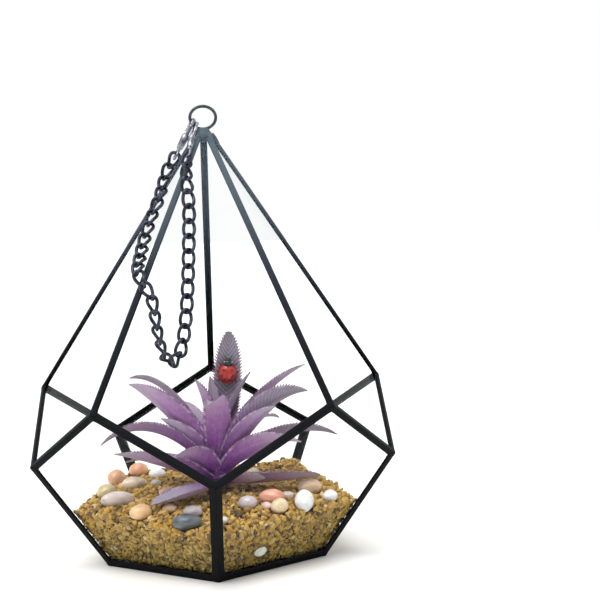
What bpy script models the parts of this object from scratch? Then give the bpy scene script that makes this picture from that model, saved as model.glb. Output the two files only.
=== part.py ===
"""Geometric glass terrarium: a frame of angle strips, panes, a gravel bed, a rosette plant and a chain.

The frame is metres, +Z up. The origin lies on the terrarium's upright axis, at the surface that it stands on,
and the open front kite, through which it is planted, faces -Y.
"""

import math
import random

import bmesh
import bpy
from mathutils import Matrix, Vector, noise
from mathutils.geometry import interpolate_bezier

MM = 0.001

# Driving dimensions of the polyhedron, on the outer skin
SIDES = 5
FRONT_ANGLE = -90.0
BASE_RADIUS = 60.8 * MM
GIRDLE_RADIUS = 100.0 * MM
GIRDLE_HEIGHT = 56.2 * MM
APEX_HEIGHT = 235.0 * MM

# Frame strips: how far one flange reaches over the glass, how thick it is, and the glass behind it
STRIP_WIDTH = 3.6 * MM
GIRDLE_WIDTH = 2.6 * MM
RIB_WIDTH = 2.2 * MM
STRIP_DEPTH = 1.0 * MM
GLASS_THICKNESS = 1.1 * MM
GAP = 0.3 * MM
INNER_DEPTH = STRIP_DEPTH + GAP + GLASS_THICKNESS
PANE_START = 0.45
STRIP_END_GAP = 0.25 * MM

# Solder block at the peak, and the ring on it
CAP_BOTTOM = 225.0 * MM
CAP_TOP = 230.6 * MM
CAP_RADII = (6.0 * MM, 1.6 * MM)
RING_WIRE = 1.7 * MM
RING_HALF_WIDTH = 6.9 * MM
RING_HALF_HEIGHT = 6.0 * MM
RING_CENTRE = Vector((0.0, 0.0, 235.8)) * MM

# Chain: twisted oval links that reach past their joints into each other
LINK_WIRE = 1.55 * MM
LINK_HALF_WIDTH = 2.93 * MM
LINK_TWIST = 1.1 * MM
LINK_POINTS = 8
LINK_HOOKED = 0.65 * MM
LINK_FREE = -0.95 * MM
CHAIN_LINKS = 33
OUTER_LINKS = 8

# Clasps: flat hooks with a slot for the ring and a hole for the chain
CLASP_THICKNESS = 2.0 * MM
CLASP_RADIUS = 2.9 * MM
CLASP_OVERHANG = 0.3 * MM
CLASP_SLOT = 1.9 * MM
SLOT_SPAN = (-0.1 * MM, 4.0 * MM)

# Ladybird ornament: half its body across, along and deep, and how high it sits on its leaf
LADYBIRD_BODY = (5.1 * MM, 5.7 * MM, 4.6 * MM)
LADYBIRD_HEAD = 2.1 * MM
HEAD_PLACE = Vector((0.0, 5.8, 2.3)) * MM
LADYBIRD_LIFT = 2.1 * MM
LADYBIRD_PLACE = 0.65

# Gravel bed: its level, the dip towards the front corner, its heaps and hollows, and the grain of its surface
GRAVEL_LEVEL = 34.0 * MM
GRAVEL_DIP = 8.5 * MM
DIP_START = 25.0 * MM
DIP_END = 70.0 * MM
HEAPS = [((74, -24), 22, -3.6), ((-74, -24), 22, -2.6), ((44, 60), 15, 2.6)]
GRAVEL_RINGS = 15
GRAIN_RELIEF = 1.0 * MM
SEAT_GAP = 0.35 * MM

# Plant: where its stem stands, and how its leaves are made
PLANT_SPOT = Vector((2.1, 0.0, 0.0)) * MM
LEAF_STEPS = 12
LEAF_THICKNESS = 1.3 * MM
LEAF_EDGE = 0.7 * MM
LEAF_CHANNEL = 0.32
LEAF_TIP = 0.35 * MM
TOOTH = 0.9 * MM

HALF_SECTOR = math.cos(math.pi / SIDES)
UP = Vector((0, 0, 1))


def shoulder():
    """The shoulder's radius and height, where both the kites and the pentagons stay flat."""
    kite_fall = (APEX_HEIGHT - GIRDLE_HEIGHT) * HALF_SECTOR / GIRDLE_RADIUS
    side_rise = GIRDLE_HEIGHT / ((GIRDLE_RADIUS - BASE_RADIUS) * HALF_SECTOR)
    radius = (APEX_HEIGHT + side_rise * BASE_RADIUS * HALF_SECTOR) / (kite_fall + side_rise)
    return radius, APEX_HEIGHT - kite_fall * radius


SHOULDER_RADIUS, SHOULDER_HEIGHT = shoulder()


def around(radius, height, degrees):
    """A point at a radius and height, at an angle about the upright axis."""
    turn = math.radians(degrees)
    return Vector((radius * math.cos(turn), radius * math.sin(turn), height))


def sector(index):
    """The angle of a corner of the base or girdle, where corner 0 is at the front."""
    return FRONT_ANGLE + 360 / SIDES * index


CORNERS = {"apex": Vector((0, 0, APEX_HEIGHT))}
for number in range(SIDES):
    CORNERS[f"base{number}"] = around(BASE_RADIUS, 0, sector(number))
    CORNERS[f"girdle{number}"] = around(GIRDLE_RADIUS, GIRDLE_HEIGHT, sector(number))
    CORNERS[f"shoulder{number}"] = around(SHOULDER_RADIUS, SHOULDER_HEIGHT, sector(number + 0.5))

# Each face's corners run anticlockwise, seen from outside
FACES = {"pane_floor": [f"base{number}" for number in reversed(range(SIDES))]}
for number in range(SIDES):
    after = (number + 1) % SIDES
    before = (number - 1) % SIDES
    FACES[f"pane_side_{number + 1}"] = [
        f"base{number}", f"base{after}", f"girdle{after}", f"shoulder{number}", f"girdle{number}"
    ]
    FACES[f"pane_kite_{number + 1}"] = [f"girdle{number}", f"shoulder{number}", "apex", f"shoulder{before}"]
OPEN_FACE = "pane_kite_1"


def face_normal(face):
    """The outward unit normal of a face."""
    first, second, third = (CORNERS[name] for name in FACES[face][:3])
    return (second - first).cross(third - second).normalized()


def inward(corner):
    """From a corner of the skin towards the inside, for each metre of depth."""
    rows = [face_normal(face) for face, names in FACES.items() if corner in names][:3]
    return Matrix(rows).inverted() @ Vector((-1, -1, -1))


def flange_width(first, second):
    """How far the strip on an edge reaches over the glass."""
    if "apex" in (first, second):
        return RIB_WIDTH
    return STRIP_WIDTH if "base" in first + second else GIRDLE_WIDTH


def inset(face, corner):
    """From a corner, in its face's plane, to where the flanges of its two strips meet."""
    names = FACES[face]
    place = names.index(corner)
    before, after = names[place - 1], names[(place + 1) % len(names)]
    to_before = (CORNERS[before] - CORNERS[corner]).normalized()
    to_after = (CORNERS[after] - CORNERS[corner]).normalized()
    reach = to_before * flange_width(corner, after) + to_after * flange_width(corner, before)
    return reach / to_before.cross(to_after).length


def collection(name):
    """A new collection in the scene."""
    made = bpy.data.collections.new(name)
    bpy.context.scene.collection.children.link(made)
    return made


for leftover in list(bpy.data.objects):
    bpy.data.objects.remove(leftover, do_unlink=True)
PARTS = collection("geometric_glass_terrarium")
CUTTERS = collection("cutters")


def material(name, color, roughness, metallic=0.0, alpha=1.0):
    """A Principled material."""
    made = bpy.data.materials.new(name)
    made.use_nodes = True
    shader = made.node_tree.nodes["Principled BSDF"]
    shader.inputs["Base Color"].default_value = (*color, 1.0)
    shader.inputs["Roughness"].default_value = roughness
    shader.inputs["Metallic"].default_value = metallic
    shader.inputs["Alpha"].default_value = alpha
    return made


BLACK_PAINT = material("black_paint", (0.02, 0.02, 0.025), 0.4)
GLASS = material("clear_glass", (0.9, 0.95, 0.93), 0.03, alpha=0.25)
BLACK_STEEL = material("black_steel", (0.03, 0.03, 0.04), 0.35, metallic=0.6)
SILVER = material("silver", (0.75, 0.75, 0.76), 0.25, metallic=1.0)
GRAVEL = material("gravel", (0.62, 0.42, 0.14), 0.8)
LEAF = material("purple_leaf", (0.42, 0.22, 0.5), 0.5)
LADYBIRD_RED = material("ladybird_red", (0.7, 0.04, 0.02), 0.3)


def add(name, mesh, look, target=PARTS):
    """An object of a mesh, or of a bmesh, in a collection."""
    if isinstance(mesh, bmesh.types.BMesh):
        bmesh.ops.recalc_face_normals(mesh, faces=mesh.faces)
        built = bpy.data.meshes.new(name)
        mesh.to_mesh(built)
        mesh.free()
        mesh = built
    made = bpy.data.objects.new(name, mesh)
    if look:
        made.data.materials.clear()
        made.data.materials.append(look)
    target.objects.link(made)
    if target == CUTTERS:
        made.hide_render = True
        made.display_type = "WIRE"
    return made


def settled(thing):
    """The mesh of an object as its modifiers leave it, in world coordinates, with its doubles merged."""
    bpy.context.view_layer.update()
    mesh = bpy.data.meshes.new_from_object(thing.evaluated_get(bpy.context.evaluated_depsgraph_get()))
    mesh.transform(thing.matrix_world)
    work = bmesh.new()
    work.from_mesh(mesh)
    bmesh.ops.remove_doubles(work, verts=work.verts, dist=1e-7)
    work.to_mesh(mesh)
    work.free()
    return mesh


def keep_outer(mesh):
    """Keep a mesh's main shell: the hollows that fusing seals are filled, and loose scraps are dropped."""
    work = bmesh.new()
    work.from_mesh(mesh)
    unseen = set(work.faces)
    shells = []
    while unseen:
        front = [unseen.pop()]
        shell = []
        while front:
            face = front.pop()
            shell.append(face)
            seams = [edge for edge in face.edges if len(edge.link_faces) == 2]
            fresh = {near for edge in seams for near in edge.link_faces} & unseen
            unseen -= fresh
            front += fresh
        shells.append(shell)
    shells.sort(key=len)
    bmesh.ops.delete(work, geom=[face for shell in shells[:-1] for face in shell], context="FACES")
    work.to_mesh(mesh)
    work.free()


def combine(body, others, operation):
    """Join a list of objects to a body, or cut them from it, with one Boolean, and remove them."""
    tools = collection("tools")
    for other in others:
        for home in other.users_collection:
            home.objects.unlink(other)
        tools.objects.link(other)
    cut = body.modifiers.new(operation.lower(), "BOOLEAN")
    cut.operation = operation
    cut.operand_type = "COLLECTION"
    cut.collection = tools
    mesh = settled(body)
    keep_outer(mesh)
    body.modifiers.clear()
    body.data = mesh
    body.matrix_world = Matrix()
    for other in others:
        bpy.data.objects.remove(other, do_unlink=True)
    bpy.data.collections.remove(tools)


def trim_above(mesh, height, way=UP):
    """Cut off what lies above a height, or past it some other way, and close the cut."""
    geometry = mesh.verts[:] + mesh.edges[:] + mesh.faces[:]
    bmesh.ops.bisect_plane(mesh, geom=geometry, plane_co=way * height, plane_no=way, clear_outer=True)
    bmesh.ops.holes_fill(mesh, edges=[edge for edge in mesh.edges if edge.is_boundary])


# A flange's outline as (depth, reach), from the strip's outer corner to its inner one
FLANGE = [(0, 0), (0, 1), (STRIP_DEPTH, 1), (STRIP_DEPTH, 0)]


def strip(name, first, second):
    """One frame strip, lofted between the mitres at an edge's ends, with a flange in each of its faces."""
    sides = [face for face, names in FACES.items() if {first, second} <= set(names)]
    along = (CORNERS[second] - CORNERS[first]).normalized() * STRIP_END_GAP
    mesh = bmesh.new()
    loops = []
    for corner, shift in ((first, along), (second, -along)):
        skin, down = CORNERS[corner] + shift, inward(corner)
        flanges = [
            [skin + down * depth + inset(face, corner) * reach for depth, reach in FLANGE] for face in sides
        ]
        outline = [mesh.verts.new(point) for point in flanges[0]]
        caps = [outline[:]]
        for flange in flanges[1:]:
            back = [mesh.verts.new(point) for point in reversed(flange[1:-1])]
            caps.append([outline[0], outline[-1], *back])
            outline = outline + back
        for cap in caps:
            mesh.faces.new(cap)
        loops.append(outline)
    for place in range(len(loops[0])):
        mesh.faces.new([loops[0][place - 1], loops[0][place], loops[1][place], loops[1][place - 1]])
    trim_above(mesh, CAP_BOTTOM - GAP)
    return add(name, mesh, BLACK_PAINT)


def pane(face):
    """One glass pane, bonded behind the flanges of its strips."""
    mesh = bmesh.new()
    levels = []
    for depth in (STRIP_DEPTH + GAP, INNER_DEPTH):
        points = [
            CORNERS[corner] + inward(corner) * depth + inset(face, corner) * PANE_START
            for corner in FACES[face]
        ]
        levels.append([mesh.verts.new(point) for point in points])
    for level in levels:
        mesh.faces.new(level)
    for place in range(len(levels[0])):
        mesh.faces.new([levels[0][place - 1], levels[0][place], levels[1][place], levels[1][place - 1]])
    trim_above(mesh, CAP_BOTTOM - GAP)
    return add(face, mesh, GLASS)


def frame():
    """All strips and panes."""
    for number in range(SIDES):
        after = (number + 1) % SIDES
        strip(f"rib_{number + 1}", f"shoulder{number}", "apex")
        strip(f"girdle_rise_{number + 1}", f"girdle{number}", f"shoulder{number}")
        strip(f"girdle_fall_{number + 1}", f"shoulder{number}", f"girdle{after}")
        strip(f"strut_{number + 1}", f"base{number}", f"girdle{number}")
        strip(f"base_{number + 1}", f"base{number}", f"base{after}")
    for face in FACES:
        if face != OPEN_FACE:
            pane(face)


def ring_solid(name, wire, look, target=PARTS):
    """The oval ring, facing the open kite's side."""
    bpy.ops.mesh.primitive_torus_add(
        major_segments=28, minor_segments=6, major_radius=RING_HALF_WIDTH, minor_radius=wire / 2
    )
    mesh = bpy.context.object.data
    bpy.data.objects.remove(bpy.context.object, do_unlink=True)
    mesh.transform(Matrix.Rotation(math.radians(90), 4, "X"))
    mesh.transform(Matrix.Diagonal((1, 1, RING_HALF_HEIGHT / RING_HALF_WIDTH, 1)))
    mesh.shade_smooth()
    made = add(name, mesh, look, target)
    made.location = RING_CENTRE
    return made


def apex():
    """The solder block where the ribs meet, and the ring that sits in its top."""
    mesh = bmesh.new()
    bmesh.ops.create_cone(
        mesh, cap_ends=True, segments=2 * SIDES,
        radius1=CAP_RADII[0], radius2=CAP_RADII[1], depth=CAP_TOP - CAP_BOTTOM,
    )
    mesh.transform(Matrix.Translation(UP * (CAP_TOP + CAP_BOTTOM) / 2))
    cap = add("apex_cap", mesh, BLACK_PAINT)
    ring_solid("hanging_ring", RING_WIRE, BLACK_PAINT)
    combine(cap, [ring_solid("ring_seat", RING_WIRE + 2 * GAP, None, CUTTERS)], "DIFFERENCE")


def wall_radius(height):
    """The gravel's corner radius at a height, just inside the glass."""
    slope = (GIRDLE_RADIUS - BASE_RADIUS) / GIRDLE_HEIGHT
    lean = math.atan(slope * HALF_SECTOR)
    clear = (INNER_DEPTH + GAP) / (math.cos(lean) * HALF_SECTOR)
    return BASE_RADIUS + slope * height - clear


def gravel_level(spot):
    """The gravel's mean height at a spot, before its grains."""
    fraction = min(max((-spot.y - DIP_START) / (DIP_END - DIP_START), 0), 1)
    dip = GRAVEL_DIP * fraction * fraction * (3 - 2 * fraction)
    mounds = 1.2 * MM * noise.noise(Vector((spot.x, spot.y, 0)) / (28 * MM))
    for middle, reach, rise in HEAPS:
        away = (Vector((spot.x, spot.y)) - Vector(middle) * MM).length / (reach * MM)
        mounds += rise * MM * math.exp(-away * away)
    return GRAVEL_LEVEL - dip + mounds


def gravel_bed(seats):
    """The gravel: a lattice of grains on top, straight walls along the glass, and a seat for each thing."""
    draw = random.Random(7)
    mesh = bmesh.new()
    corners = [around(1, 0, sector(number)) for number in range(SIDES + 1)]
    rings = []
    for ring in range(GRAVEL_RINGS + 1):
        row = []
        for step in range(max(1, SIDES * ring)):
            side, along = divmod(step, max(1, ring))
            unit = corners[side].lerp(corners[side + 1], along / max(1, ring)) * (ring / GRAVEL_RINGS)
            if ring < GRAVEL_RINGS:
                unit += Vector((draw.uniform(-1, 1), draw.uniform(-1, 1), 0)) * 0.25 / GRAVEL_RINGS
            height = gravel_level(unit * wall_radius(GRAVEL_LEVEL)) + draw.uniform(-1, 1) * GRAIN_RELIEF
            row.append(mesh.verts.new(unit * wall_radius(height) + UP * height))
        rings.append(row)
    for ring in range(GRAVEL_RINGS):
        inner, outer = rings[ring], rings[ring + 1]
        for side in range(SIDES):
            for along in range(ring + 1):
                near = side * ring + along
                far = side * (ring + 1) + along
                pick = [outer[far], outer[(far + 1) % len(outer)], inner[near % len(inner)]]
                mesh.faces.new(pick)
                if along < ring:
                    mesh.faces.new([inner[near], pick[1], inner[(near + 1) % len(inner)]])
    floor = INNER_DEPTH + GAP
    bottom = []
    for vertex in rings[-1]:
        flat = Vector((vertex.co.x, vertex.co.y, 0)) * (wall_radius(floor) / wall_radius(vertex.co.z))
        bottom.append(mesh.verts.new(flat + UP * floor))
    for place in range(len(bottom)):
        mesh.faces.new([bottom[place - 1], bottom[place], rings[-1][place], rings[-1][place - 1]])
    mesh.faces.new(bottom)
    bed = add("gravel_bed", mesh, GRAVEL)
    combine(bed, seats, "DIFFERENCE")


# Pebbles: place (x, y), size (long, wide, tall), turn in degrees, and colour; all lengths in mm
PEBBLES = [
    ((-44, 51), (12.0, 10.5, 9.5), 10, (0.80, 0.42, 0.25)),
    ((-33, 43), (11.0, 9.0, 7.5), -20, (0.80, 0.80, 0.78)),
    ((-55, 27), (11.5, 10.5, 11.5), 30, (0.72, 0.47, 0.30)),
    ((-45, 13), (14.5, 9.0, 8.5), 10, (0.72, 0.58, 0.47)),
    ((-58.5, -3), (12.0, 11.0, 10.0), 40, (0.60, 0.52, 0.33)),
    ((-51.5, -22), (19.5, 9.0, 9.5), 15, (0.66, 0.57, 0.55)),
    ((-38.5, -42.4), (13.0, 10.0, 9.0), 35, (0.80, 0.55, 0.30)),
    ((-12, -44.5), (11.0, 9.0, 6.5), -5, (0.50, 0.43, 0.48)),
    ((-15, -56.5), (16.5, 11.0, 9.0), 5, (0.17, 0.20, 0.24)),
    ((29.5, -32), (14.5, 10.0, 9.0), -15, (0.78, 0.42, 0.33)),
    ((32.6, -44.2), (10.0, 9.0, 9.0), 30, (0.76, 0.66, 0.48)),
    ((16.5, -37.5), (11.0, 9.0, 8.0), 0, (0.62, 0.55, 0.60)),
    ((45.8, -38.8), (12.5, 10.0, 12.5), 50, (0.80, 0.80, 0.80)),
    ((60.5, -26.5), (8.3, 7.5, 7.5), 0, (0.82, 0.82, 0.84)),
    ((51, -10), (14.0, 10.0, 10.0), 20, (0.76, 0.60, 0.46)),
]
PEBBLE_RISE = 0.28
GLASS_PEBBLE = (Vector((21.2, -45.6, 13.0)) * MM, (11.0, 6.0, 10.0), 36, (0.78, 0.80, 0.76))


def pebble(name, centre, size, turn, look, seed, target=PARTS, grow=0.0):
    """A rounded pebble, or its seat when it grows."""
    mesh = bmesh.new()
    bmesh.ops.create_icosphere(mesh, subdivisions=2, radius=1)
    for vertex in mesh.verts:
        bump = 1 + 0.12 * noise.noise(vertex.co * 1.3 + Vector((seed, 0, 0)))
        vertex.co = Vector([vertex.co[axis] * bump * (size[axis] * MM / 2 + grow) for axis in range(3)])
    made = add(name, mesh, look, target)
    made.data.shade_smooth()
    made.location = centre
    made.rotation_euler.z = math.radians(turn)
    return made


def pebbles():
    """Every pebble, and the seats that they press into the gravel."""
    spots = []
    for (x, y), size, turn, color in PEBBLES:
        spot = Vector((x, y, 0)) * MM
        spots.append((spot + UP * (gravel_level(spot) + PEBBLE_RISE * size[2] * MM), size, turn, color))
    spots.append(GLASS_PEBBLE)
    seats = []
    for number, (centre, size, turn, color) in enumerate(spots, 1):
        look = material(f"pebble_{number:02d}", color, 0.35)
        pebble(f"pebble_{number:02d}", centre, size, turn, look, number)
        seats.append(pebble(f"seat_{number:02d}", centre, size, turn, None, number, CUTTERS, SEAT_GAP))
    return seats


# Leaves, in mm and degrees: angle about the stem, root height, the curve's control point (out, up), its tip
# (out, up), width, the tip's side swing, and the roll about the leaf's own line
LEAVES = [
    (60, 52, (14, 88), (11, 120), 14.0, -3, 30),
    (-72, 42, (10, 98), (22, 89), 17.0, -11, 0),
    (205, 60, (5, 84), (12, 96), 9.0, 0, 20),
    (120, 62, (3, 84), (6, 96), 8.0, 0, 0),
    (8, 62, (7, 80), (19, 98), 9.0, 0, -30),
    (158, 50, (26, 101), (52, 98), 14.0, 0, 20),
    (190, 46, (25, 86), (47, 95), 17.0, 0, 50),
    (196, 44, (14, 66), (31, 76), 12.0, 0, 45),
    (188, 42, (34, 84), (63, 64), 14.0, 0, 30),
    (206, 38, (30, 54), (60, 62), 13.0, 0, 40),
    (230, 40, (18, 68), (37, 58), 16.0, 0, 25),
    (262, 39, (34, 39.5), (42, 36), 15.0, -30, 10),
    (14, 56, (20, 95), (51, 102), 13.0, 0, -40),
    (-10, 48, (25, 91), (50, 88), 17.0, 0, -50),
    (-22, 46, (16, 72), (34, 81), 13.0, 0, -45),
    (-3, 46, (38, 77), (65, 63), 14.0, 0, -30),
    (-33, 40, (24, 72), (52, 67), 18.0, 0, -40),
    (-35, 39, (30, 40), (50, 42), 15.0, 24, -14),
    (-60, 39, (22, 40.5), (28, 43.5), 13.0, 12, -14),
    (50, 44, (28, 76), (56, 66), 14.0, 0, 0),
    (80, 50, (22, 90), (46, 90), 14.0, 0, 0),
    (100, 38, (28, 50), (56, 42), 14.0, 0, 0),
    (122, 46, (26, 82), (54, 76), 14.0, 0, 0),
    (150, 38, (30, 54), (60, 46), 14.0, 0, 0),
]
ROOT_RADIUS = 1.5 * MM


def leaf_outline(fraction):
    """The share of a leaf's full width at a fraction of its length."""
    return 1.02 * (1 - fraction) ** 0.85 * (0.66 + 2.0 * fraction)


def leaf_frame(along, angle, root, control, tip, width, swing, roll):
    """A leaf at a fraction of its length: place, directions across and out of its upper side, half width."""
    outward = around(1, 0, angle)
    points = [
        outward * ROOT_RADIUS + UP * root * MM,
        outward * control[0] * MM + UP * control[1] * MM,
        outward * tip[0] * MM + UP * tip[1] * MM + UP.cross(outward) * swing * MM,
    ]
    place = points[0] * (1 - along) ** 2 + points[1] * 2 * along * (1 - along) + points[2] * along ** 2
    heading = ((points[1] - points[0]) * (1 - along) + (points[2] - points[1]) * along).normalized()
    side = Matrix.Rotation(math.radians(roll) * min(3 * along, 1), 3, heading) @ UP.cross(outward)
    above = heading.cross(side).normalized()
    return PLANT_SPOT + place, above.cross(heading), above, width * MM / 2 * leaf_outline(along)


def leaf(name, row):
    """One channelled leaf with teeth along both edges, on a curve that rises from the stem."""
    mesh = bmesh.new()
    loops = []
    for step in range(LEAF_STEPS + 1):
        along = step / LEAF_STEPS
        place, side, above, half = leaf_frame(along, *row)
        half = max(half, LEAF_TIP)
        reach = half + (TOOTH if step % 2 and step < LEAF_STEPS else 0)
        rise = LEAF_CHANNEL * half
        middle = LEAF_EDGE + (LEAF_THICKNESS - LEAF_EDGE) * (1 - along)
        section = [
            (-reach, rise), (0, 0), (reach, rise),
            (reach, rise - LEAF_EDGE), (0, -middle), (-reach, rise - LEAF_EDGE),
        ]
        loops.append([mesh.verts.new(place + side * out + above * up) for out, up in section])
    for first, second in zip(loops, loops[1:]):
        for corner in range(6):
            mesh.faces.new([first[corner - 1], first[corner], second[corner], second[corner - 1]])
    for loop in (loops[0], loops[-1]):
        mesh.faces.new([loop[0], loop[1], loop[4], loop[5]])
        mesh.faces.new([loop[1], loop[2], loop[3], loop[4]])
    return add(name, mesh, LEAF)


STEM_PROFILE = [(6.0, 26.0), (6.5, 40.0), (5.0, 52.0), (3.0, 66.0)]


def stem_solid(name, profile, look, target=PARTS):
    """The plant's stem, turned from its profile of (radius, height) in mm."""
    mesh = bmesh.new()
    loops = [
        [mesh.verts.new(PLANT_SPOT + around(radius * MM, height * MM, 36 * step)) for step in range(10)]
        for radius, height in profile
    ]
    for lower, upper in zip(loops, loops[1:]):
        for place in range(10):
            mesh.faces.new([lower[place - 1], lower[place], upper[place], upper[place - 1]])
    mesh.faces.new(loops[0])
    mesh.faces.new(loops[-1])
    return add(name, mesh, look, target)


def plant():
    """The rosette: every leaf fused to the stem. It returns the hole that the stem stands in."""
    stem = stem_solid("rosette_plant", STEM_PROFILE, LEAF)
    leaves = [leaf(f"leaf_{number}", row) for number, row in enumerate(LEAVES)]
    combine(stem, leaves, "UNION")
    hole = [(radius + SEAT_GAP / MM, height) for radius, height in STEM_PROFILE]
    hole[0] = (hole[0][0], STEM_PROFILE[0][1] - 2 * SEAT_GAP / MM)
    return stem_solid("stem_hole", hole, None, CUTTERS)


def ladybird():
    """The ladybird ornament: half an egg with a head, flat underneath, on the crown leaf."""
    shapes = []
    for radii, centre in ((LADYBIRD_BODY, Vector()), ([LADYBIRD_HEAD] * 3, HEAD_PLACE)):
        mesh = bmesh.new()
        bmesh.ops.create_uvsphere(mesh, u_segments=14, v_segments=8, radius=1)
        mesh.transform(Matrix.Translation(centre) @ Matrix.Diagonal((*radii, 1)))
        if not shapes:
            trim_above(mesh, 0, -UP)
        shapes.append(add("ladybird", mesh, LADYBIRD_RED))
    combine(shapes[0], shapes[1:], "UNION")
    place, side, above, _ = leaf_frame(LADYBIRD_PLACE, *LEAVES[0])
    turn = Matrix((-side, above.cross(-side), above)).transposed().to_4x4()
    shapes[0].matrix_world = Matrix.Translation(place + above * LADYBIRD_LIFT) @ turn
    shapes[0].data.shade_smooth()
    shapes[0].data.set_sharp_from_angle(angle=math.radians(40))


def ring_point(degrees):
    """A point on the middle line of the ring's wire."""
    turn = math.radians(degrees)
    return RING_CENTRE + Vector((RING_HALF_WIDTH * math.cos(turn), 0, RING_HALF_HEIGHT * math.sin(turn)))


# Where the chain's two ends hook on the ring, and the points that its route passes, in mm
LEFT_HOOK = ring_point(210)
RIGHT_HOOK = ring_point(232.5)
OUTER_ROUTE = [
    (-14.65, -3.1, 216.4), (-19.9, 0.1, 208.6), (-23.9, -11.9, 194.4), (-26.3, -13.6, 189.6),
    (-28.3, -17.7, 184.1), (-30.4, -21.8, 178.3), (-32.2, -27.2, 172.3), (-33.4, -32.5, 167.6),
    (-34.2, -38.5, 163.4), (-35.2, -45.2, 159.3), (-35.0, -51.5, 155.1), (-31.4, -54.0, 149.4),
    (-28.1, -52.1, 142.8),
]
RIGHT_ROUTE = [
    (-8.6, -25.8, 188.8), (-9.1, -24.9, 195.2), (-9.5, -21.9, 202.1), (-9.5, -17.6, 209.5),
    (-8.2, -13.4, 217.0),
]
LOOP_LOW = 108.9 * MM
CLASP_NORMAL = Vector((0.87, 0.166, -0.463))


def smooth(points):
    """A fine line on a smooth curve through points that are given in mm."""
    points = [Vector(point) * MM for point in points]
    padded = [points[0] * 2 - points[1], *points, points[-1] * 2 - points[-2]]
    line = []
    for before, start, end, after in zip(padded, padded[1:], padded[2:], padded[3:]):
        line += interpolate_bezier(start, start + (end - before) / 6, end - (after - start) / 6, end, 12)
    return line


def hanging(left, right, lowest):
    """A fine line on the catenary between two supports, with a given lowest height."""
    span = Vector((right.x - left.x, right.y - left.y, 0))
    low, high = 0.01 * MM, 1.0
    for _ in range(60):
        scale = (low + high) / 2
        runs = [scale * math.acosh(1 + (end.z - lowest) / scale) for end in (left, right)]
        low, high = (scale, high) if sum(runs) < span.length else (low, scale)
    line = []
    for step in range(121):
        run = span.length * step / 120
        height = lowest + scale * (math.cosh((run - runs[0]) / scale) - 1)
        line.append(Vector((left.x, left.y, height)) + span * step / 120)
    return line


def joints(line, count):
    """The joints of a chain of equal links along a line, from its start to its end."""
    low, high = 0.0, 20 * MM
    for _ in range(40):
        pitch = (low + high) / 2
        found = [line[0]]
        for near, far in zip(line, line[1:]):
            while (far - found[-1]).length >= pitch and len(found) <= count:
                gone = (near - found[-1]).length
                share = (pitch - gone) / ((far - found[-1]).length - gone)
                found.append(near.lerp(far, min(max(share, 0), 1)))
        low, high = (pitch, high) if len(found) > count else (low, pitch)
    return [*found[:count], line[-1]]


def tube(name, points, wire, look):
    """A closed ring of wire through points."""
    curve = bpy.data.curves.new(name, "CURVE")
    curve.dimensions = "3D"
    curve.bevel_depth = wire / 2
    curve.bevel_resolution = 1
    spline = curve.splines.new("POLY")
    spline.points.add(len(points) - 1)
    for slot, point in zip(spline.points, points):
        slot.co = (*point, 1)
    spline.use_cyclic_u = True
    made = add(name, curve, look)
    mesh = settled(made)
    bpy.data.objects.remove(made, do_unlink=True)
    return add(name, mesh, look)


def link(number, start, end, reaches):
    """One twisted oval link between two joints, which reaches past each of them."""
    along = (end - start).normalized()
    facing = Vector((0, -1, 0))
    facing = (facing - along * facing.dot(along)).normalized()
    across = facing.cross(along)
    centre = (start + end + along * (reaches[1] - reaches[0])) / 2
    half = ((end - start).length + sum(reaches)) / 2
    points = []
    for step in range(LINK_POINTS):
        turn = math.tau * step / LINK_POINTS
        flat = along * half * math.cos(turn) + across * LINK_HALF_WIDTH * math.sin(turn)
        points.append(centre + flat + facing * LINK_TWIST * math.sin(2 * turn))
    return tube(f"link_{number}", points, LINK_WIRE, BLACK_STEEL)


def chain():
    """The chain: from the left clasp outside the glass, over the rib, down in a loop, to the right clasp."""
    outer = smooth(OUTER_ROUTE)
    right = smooth(RIGHT_ROUTE)
    stops = joints([*outer, *hanging(outer[-1], right[0], LOOP_LOW), *right], CHAIN_LINKS)
    links = []
    for number, (start, end) in enumerate(zip(stops, stops[1:])):
        reaches = [LINK_HOOKED, LINK_HOOKED]
        if number == 0:
            reaches[0] = 0
        if number == OUTER_LINKS:
            reaches[0] = LINK_FREE
        if number == OUTER_LINKS - 1:
            reaches[1] = LINK_FREE
        if number == CHAIN_LINKS - 1:
            reaches[1] = 0
        links.append(link(number, start, end, reaches))
    for name, part in (("chain_outer", links[:OUTER_LINKS]), ("chain_loop", links[OUTER_LINKS:])):
        combine(part[0], part[1:], "UNION")
        part[0].name = name
        part[0].data.shade_smooth()
        part[0].data.set_sharp_from_angle(angle=math.radians(70))


def stadium(curve, start, end, radius):
    """A closed outline with round ends, along the curve's X."""
    spline = curve.splines.new("POLY")
    spline.points.add(15)
    for step, point in enumerate(spline.points):
        turn = math.radians(-90 + 180 * (step % 8) / 7 + (180 if step > 7 else 0))
        middle = start if step > 7 else end
        point.co = (middle + radius * math.cos(turn), radius * math.sin(turn), 0, 1)
    spline.use_cyclic_u = True


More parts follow.
